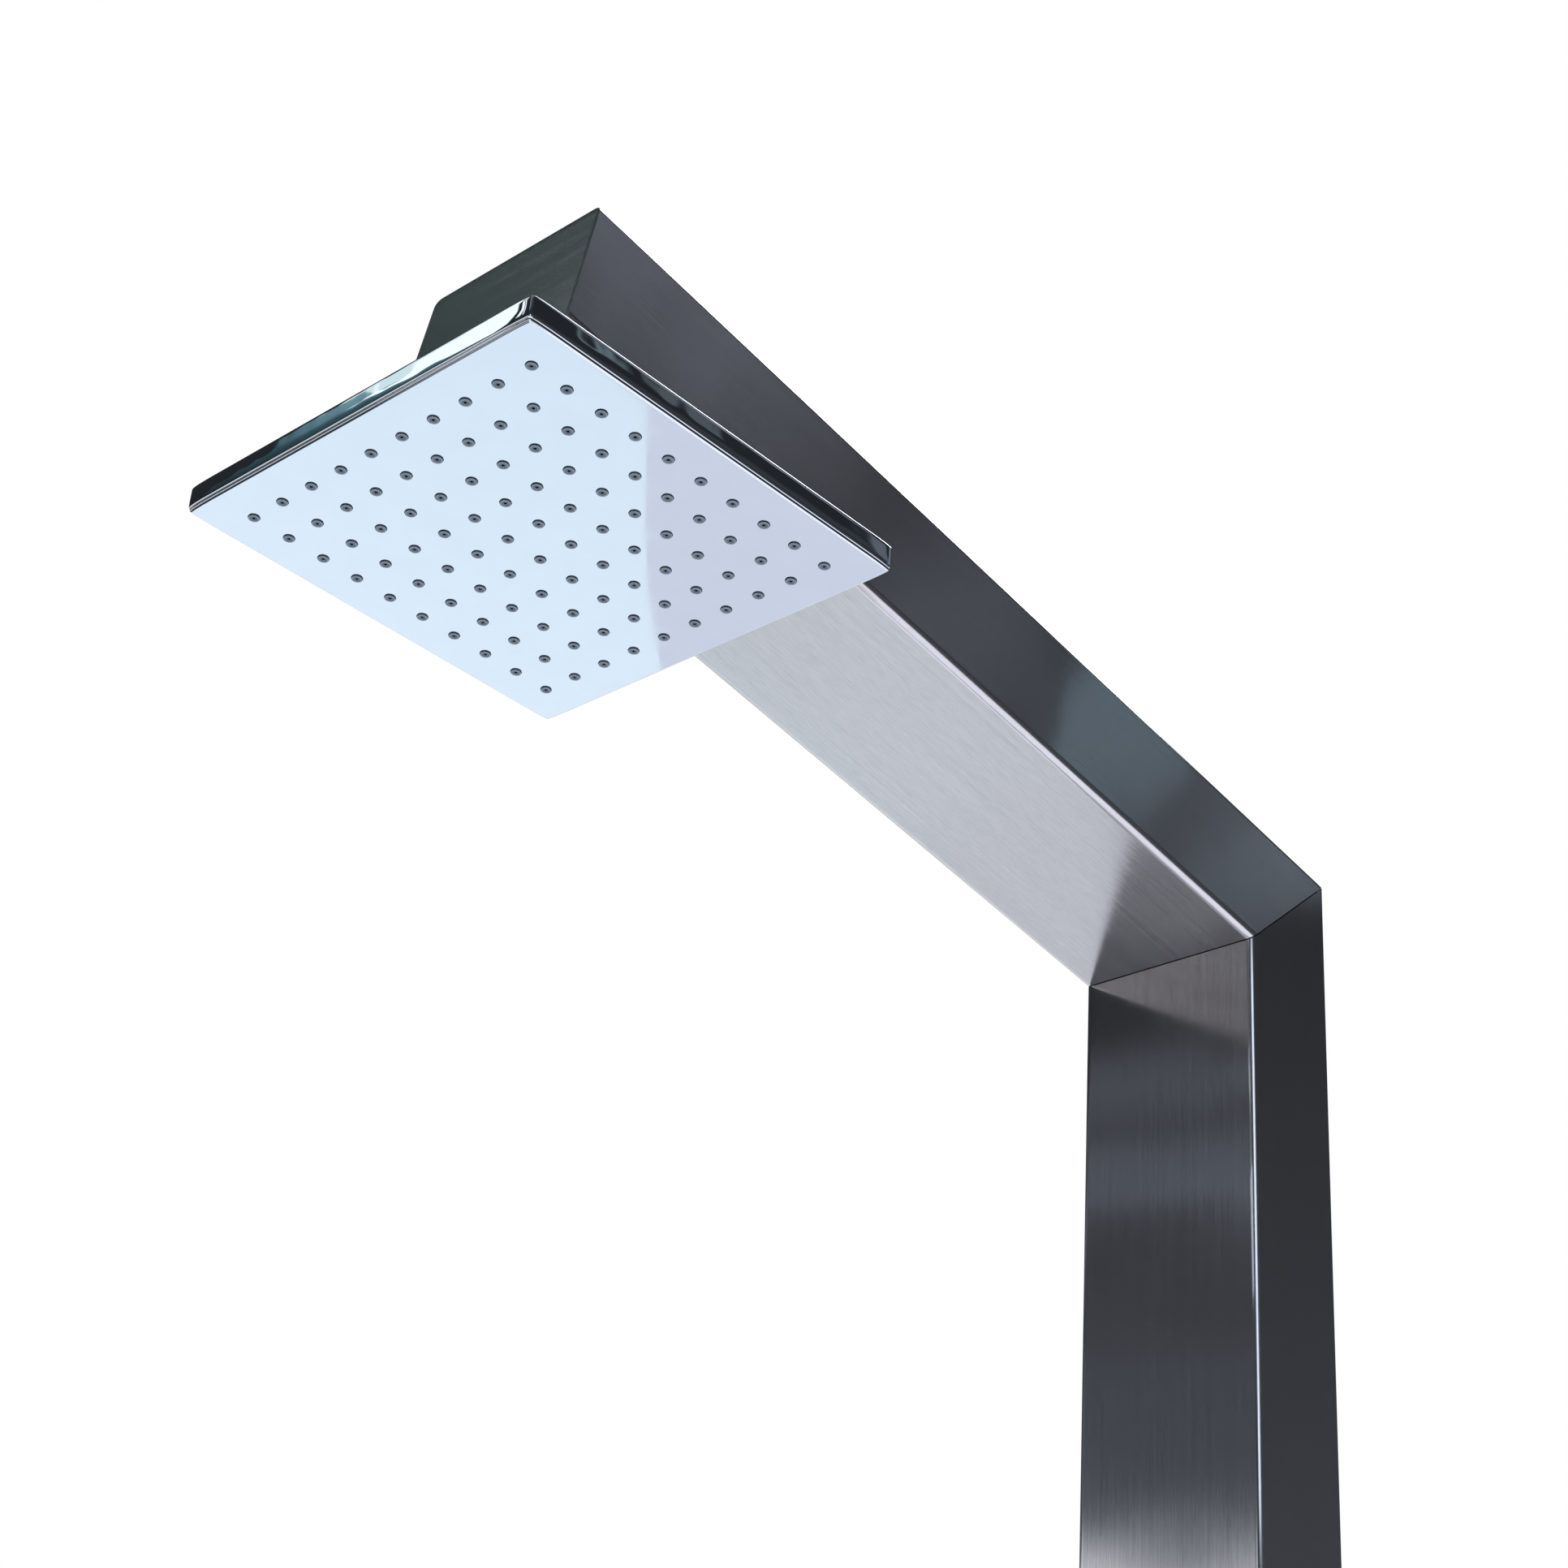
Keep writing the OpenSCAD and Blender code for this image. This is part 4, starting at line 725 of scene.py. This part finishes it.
class Hall:
    """The dome's material: where a point is on it, and its colour so far."""

    def __init__(self, tree):
        self.tree = tree
        x, y, z = axes(tree)
        self.height = times(tree, z, 1 / HALL_R)
        self.az = maths(tree, "DEGREES", maths(tree, "ARCTAN2", x, y))
        self.from_back = maths(tree, "ABSOLUTE", minus(tree, self.az, BACK_WALL_AZ))
        self.colour = None

    def slanted(self, slope, az=0):
        """The height over a line that falls by the slope for each degree past an azimuth."""
        return plus(self.tree, self.height, times(self.tree, minus(self.tree, self.az, az), slope))

    def step(self, value, start, stop):
        """From 0 at the start to 1 at the stop, whichever of the two is the higher."""
        low, high = min(start, stop), max(start, stop)
        return spread(self.tree, value, low, high, int(start > stop), int(start < stop))

    def both(self, first, second):
        """1 where two masks are both 1."""
        return times(self.tree, first, second)

    def inside(self, patch):
        """1 inside a patch, 0 outside, with soft edges."""
        sides = []
        for value, middle, half, edge in zip((self.az, self.height), *patch[:3]):
            off = maths(self.tree, "ABSOLUTE", minus(self.tree, value, middle))
            sides.append(self.step(off, half + edge, half))
        return self.both(*sides)

    def paint(self, where, colour):
        """Covers what is there with a colour where a mask is 1."""
        self.colour = mix_colours(self.tree, where, self.colour, colour)

    def front_level(self):
        """The height by which the front wall is banded.

        Its bands fall a little with growing azimuth, and low on the wall, near BANDS_AZ, they
        climb instead.
        """
        past = minus(self.tree, self.az, BANDS_AZ)
        near = spread(self.tree, past, -BANDS_REACH, BANDS_REACH, -BANDS_REACH, BANDS_REACH)
        lean = spread(self.tree, self.height, 0.215, 0.29, -0.003, 0)
        return plus(self.tree, self.slanted(0.001, BANDS_AZ), times(self.tree, near, lean))

    def paint_walls(self, level):
        back = ramp(self.tree, self.height, BACK_WALL)
        front = ramp(self.tree, level, FRONT_WALL)
        self.colour = mix_colours(self.tree, self.step(self.from_back, 55, 95), back, front)

    def paint_pale_stretch(self):
        """A paler stretch of the back wall, over a line that climbs with growing azimuth."""
        bend_az = 48  # the line is steeper before it
        before = maths(self.tree, "MINIMUM", minus(self.tree, self.az, bend_az), 0)
        line = minus(self.tree, self.slanted(-0.0065, bend_az), times(self.tree, before, 0.004))
        band = self.both(self.step(line, 0.618, 0.626), self.step(line, 0.84, 0.78))
        self.paint(self.both(band, self.inside(PALE_STRETCH)), PALE_STRETCH.colour)

    def paint_glass(self):
        """Teal glass on the back wall between two slanting edges, and the wall on both sides."""
        slant = self.slanted(0.0146)
        wall = ramp(self.tree, self.step(slant, 0.88, 1.08), TEAL_GLASS)
        where = self.both(self.step(slant, 1.0575, 1.0535), self.inside(GLASS))
        over_sill = self.step(self.slanted(0.0089), 0.704, 0.708)
        self.paint(self.both(where, over_sill), wall)

    def paint_window(self):
        """Window over teal glass, mirrored by the head's front wall."""
        level = self.slanted(-0.0048, -130)
        pane = ramp(self.tree, self.step(level, 0.46, 0.62), WINDOW_PANE)
        self.paint(self.inside(PANE), pane)
        over_frame = self.step(level, 0.547, 0.55)
        self.paint(self.both(over_frame, self.inside(WINDOW)), WINDOW.colour)

    def paint_feet(self):
        """The walls' feet; the front one is darker over a slanting edge."""
        edge = self.slanted(-0.0107, -145.3)
        over_edge = self.step(edge, -0.181, -0.175)
        mauve = mix_colours(self.tree, over_edge, MAUVE_FOOT.colour, MAUVE_SHADE)
        self.paint(self.inside(MAUVE_FOOT), mauve)
        self.paint(self.inside(DARK_FOOT), DARK_FOOT.colour)

    def solidity(self, level):
        """1 where the dome shows, 0 where it is clear: under its lower edge, but for its feet.

        The edge is lower on the right than on the left.
        """
        edge = spread(self.tree, self.from_back, 50, 110, 0.08, 0)
        solid = self.step(plus(self.tree, level, edge), 0.176, 0.203)
        for foot in (MAUVE_FOOT, DARK_FOOT):
            solid = maths(self.tree, "MAXIMUM", solid, self.inside(foot))
        return solid


def make_hall():
    """A dark dome that only mirror rays see: a hall's walls and sky over the pale floor."""
    bpy.ops.mesh.primitive_uv_sphere_add(segments=96, ring_count=48, radius=HALL_R,
                                         location=HALL_AT)
    dome = bpy.context.object
    dome.name = "hall"
    mat, tree, shader = new_material("hall")
    tree.nodes.remove(shader)
    hall = Hall(tree)
    level = hall.front_level()
    hall.paint_walls(level)
    hall.paint_pale_stretch()
    hall.paint_glass()
    hall.paint_window()
    for patch in PATCHES:
        hall.paint(hall.inside(patch), patch.colour)
    hall.paint_feet()
    clear = add(tree, "ShaderNodeBsdfTransparent").outputs[0]
    surface = mix_shaders(tree, hall.solidity(level), clear, emission(tree, hall.colour))
    tree.links.new(surface, tree.nodes["Material Output"].inputs["Surface"])
    dome.data.materials.append(mat)
    mirror_only(dome)


def mirror_only(obj):
    """Leaves a studio piece to mirror rays alone."""
    for ray in ("camera", "diffuse", "transmission", "volume_scatter", "shadow"):
        setattr(obj, "visible_" + ray, False)


# Cards: flat glowing shapes just over the floor, which the metal mirrors from below

CARD_Z = 0.01
# The edge that the blue and the lilac card share
SEAM = ((-2.02, 1.38), (-2.12, 1.48), (-2.25, 1.61), (-2.39, 1.76), (-2.53, 1.93), (-2.75, 2.2))
# Name, corners, and the colour at the highest and at the lowest X
CARDS = (
    ("blue_card", ((-1.95, 0.7), (-3.6, 0.7), (-3.6, 2.2)) + SEAM[::-1],
     (0.86, 0.955, 1.02), (0.97, 1.05, 1.1)),
    ("lilac_card", SEAM + ((-2.4, 2.9), (-1.92, 2.5), (-1.92, 1.38)),
     (0.76, 0.775, 0.85), (0.74, 0.76, 0.84)),
    ("dark_card", ((-0.5, -1.725), (-1.88, -1.725), (-1.88, -3.6), (-0.5, -3.6)),
     (0.02, 0.02, 0.02), (0.02, 0.02, 0.02)),
    ("grey_card", ((-0.5, -0.8), (-1.88, -0.8), (-1.88, -1.725), (-0.5, -1.725)),
     (0.70, 0.68, 0.72), (0.70, 0.68, 0.72)),
    ("black_card", ((-1.3, 0.65), (-5.0, 0.65), (-5.0, -5.0), (-1.88, -5.0), (-1.88, -0.8),
                    (-1.3, -0.8)),
     (0.035, 0.045, 0.055), (0.035, 0.045, 0.055)),
    ("edge_card", ((-1.1, 0.6), (0.5, 0.6), (3.4, 1.2), (3.4, 3.2), (0.5, 1.9), (-1.1, 1.5)),
     (1.2, 1.2, 1.32), (1.2, 1.2, 1.32)),
)


def make_card(name, corners, near, far):
    mesh = bpy.data.meshes.new(name)
    mesh.from_pydata([(x, y, CARD_Z) for x, y in corners], [], [list(range(len(corners)))])
    card = bpy.data.objects.new(name, mesh)
    bpy.context.collection.objects.link(card)
    mat, tree, shader = new_material(name)
    tree.nodes.remove(shader)
    places = [x for x, y in corners]
    across = spread(tree, axes(tree)[0], max(places), min(places), 0, 1)
    glow = emission(tree, mix_colours(tree, across, near, far))
    tree.links.new(glow, tree.nodes["Material Output"].inputs["Surface"])
    mesh.materials.append(mat)
    mirror_only(card)


make_world()
make_floor()
make_hall()
for card in CARDS:
    make_card(*card)
area_lamp("key", (-2.2, -2.6, 3.6), target=(0, -0.2, 1.4), size=2.2, power=90)
area_lamp("fill", (2.6, -1.2, 2.8), target=(0, -0.2, 1.2), size=2.4, power=40)
area_lamp("rim", (0.6, 3.0, 3.4), target=(0, -0.1, 1.2), size=2.0, power=50)


# Camera, solved from the photo's straight edges and its hundred nozzles

CAMERA_AT = (0.726285, -1.056094, 1.487083)
CAMERA_RIGHT = (0.74045085, 0.66871667, 0.06745773)
CAMERA_UP = (0.28541566, -0.4037168, 0.86922416)
CAMERA_BACK = (0.60849851, -0.62436428, -0.48979466)


def make_camera():
    data = bpy.data.cameras.new("camera")
    data.lens = 64.666
    data.sensor_width = 36
    data.clip_start = 0.01
    data.clip_end = 200
    cam = bpy.data.objects.new("camera", data)
    bpy.context.collection.objects.link(cam)
    turn = Matrix((CAMERA_RIGHT, CAMERA_UP, CAMERA_BACK)).transposed().to_4x4()
    cam.matrix_world = Matrix.Translation(CAMERA_AT) @ turn
    bpy.context.scene.camera = cam


make_camera()
bpy.context.scene.view_settings.view_transform = "Standard"
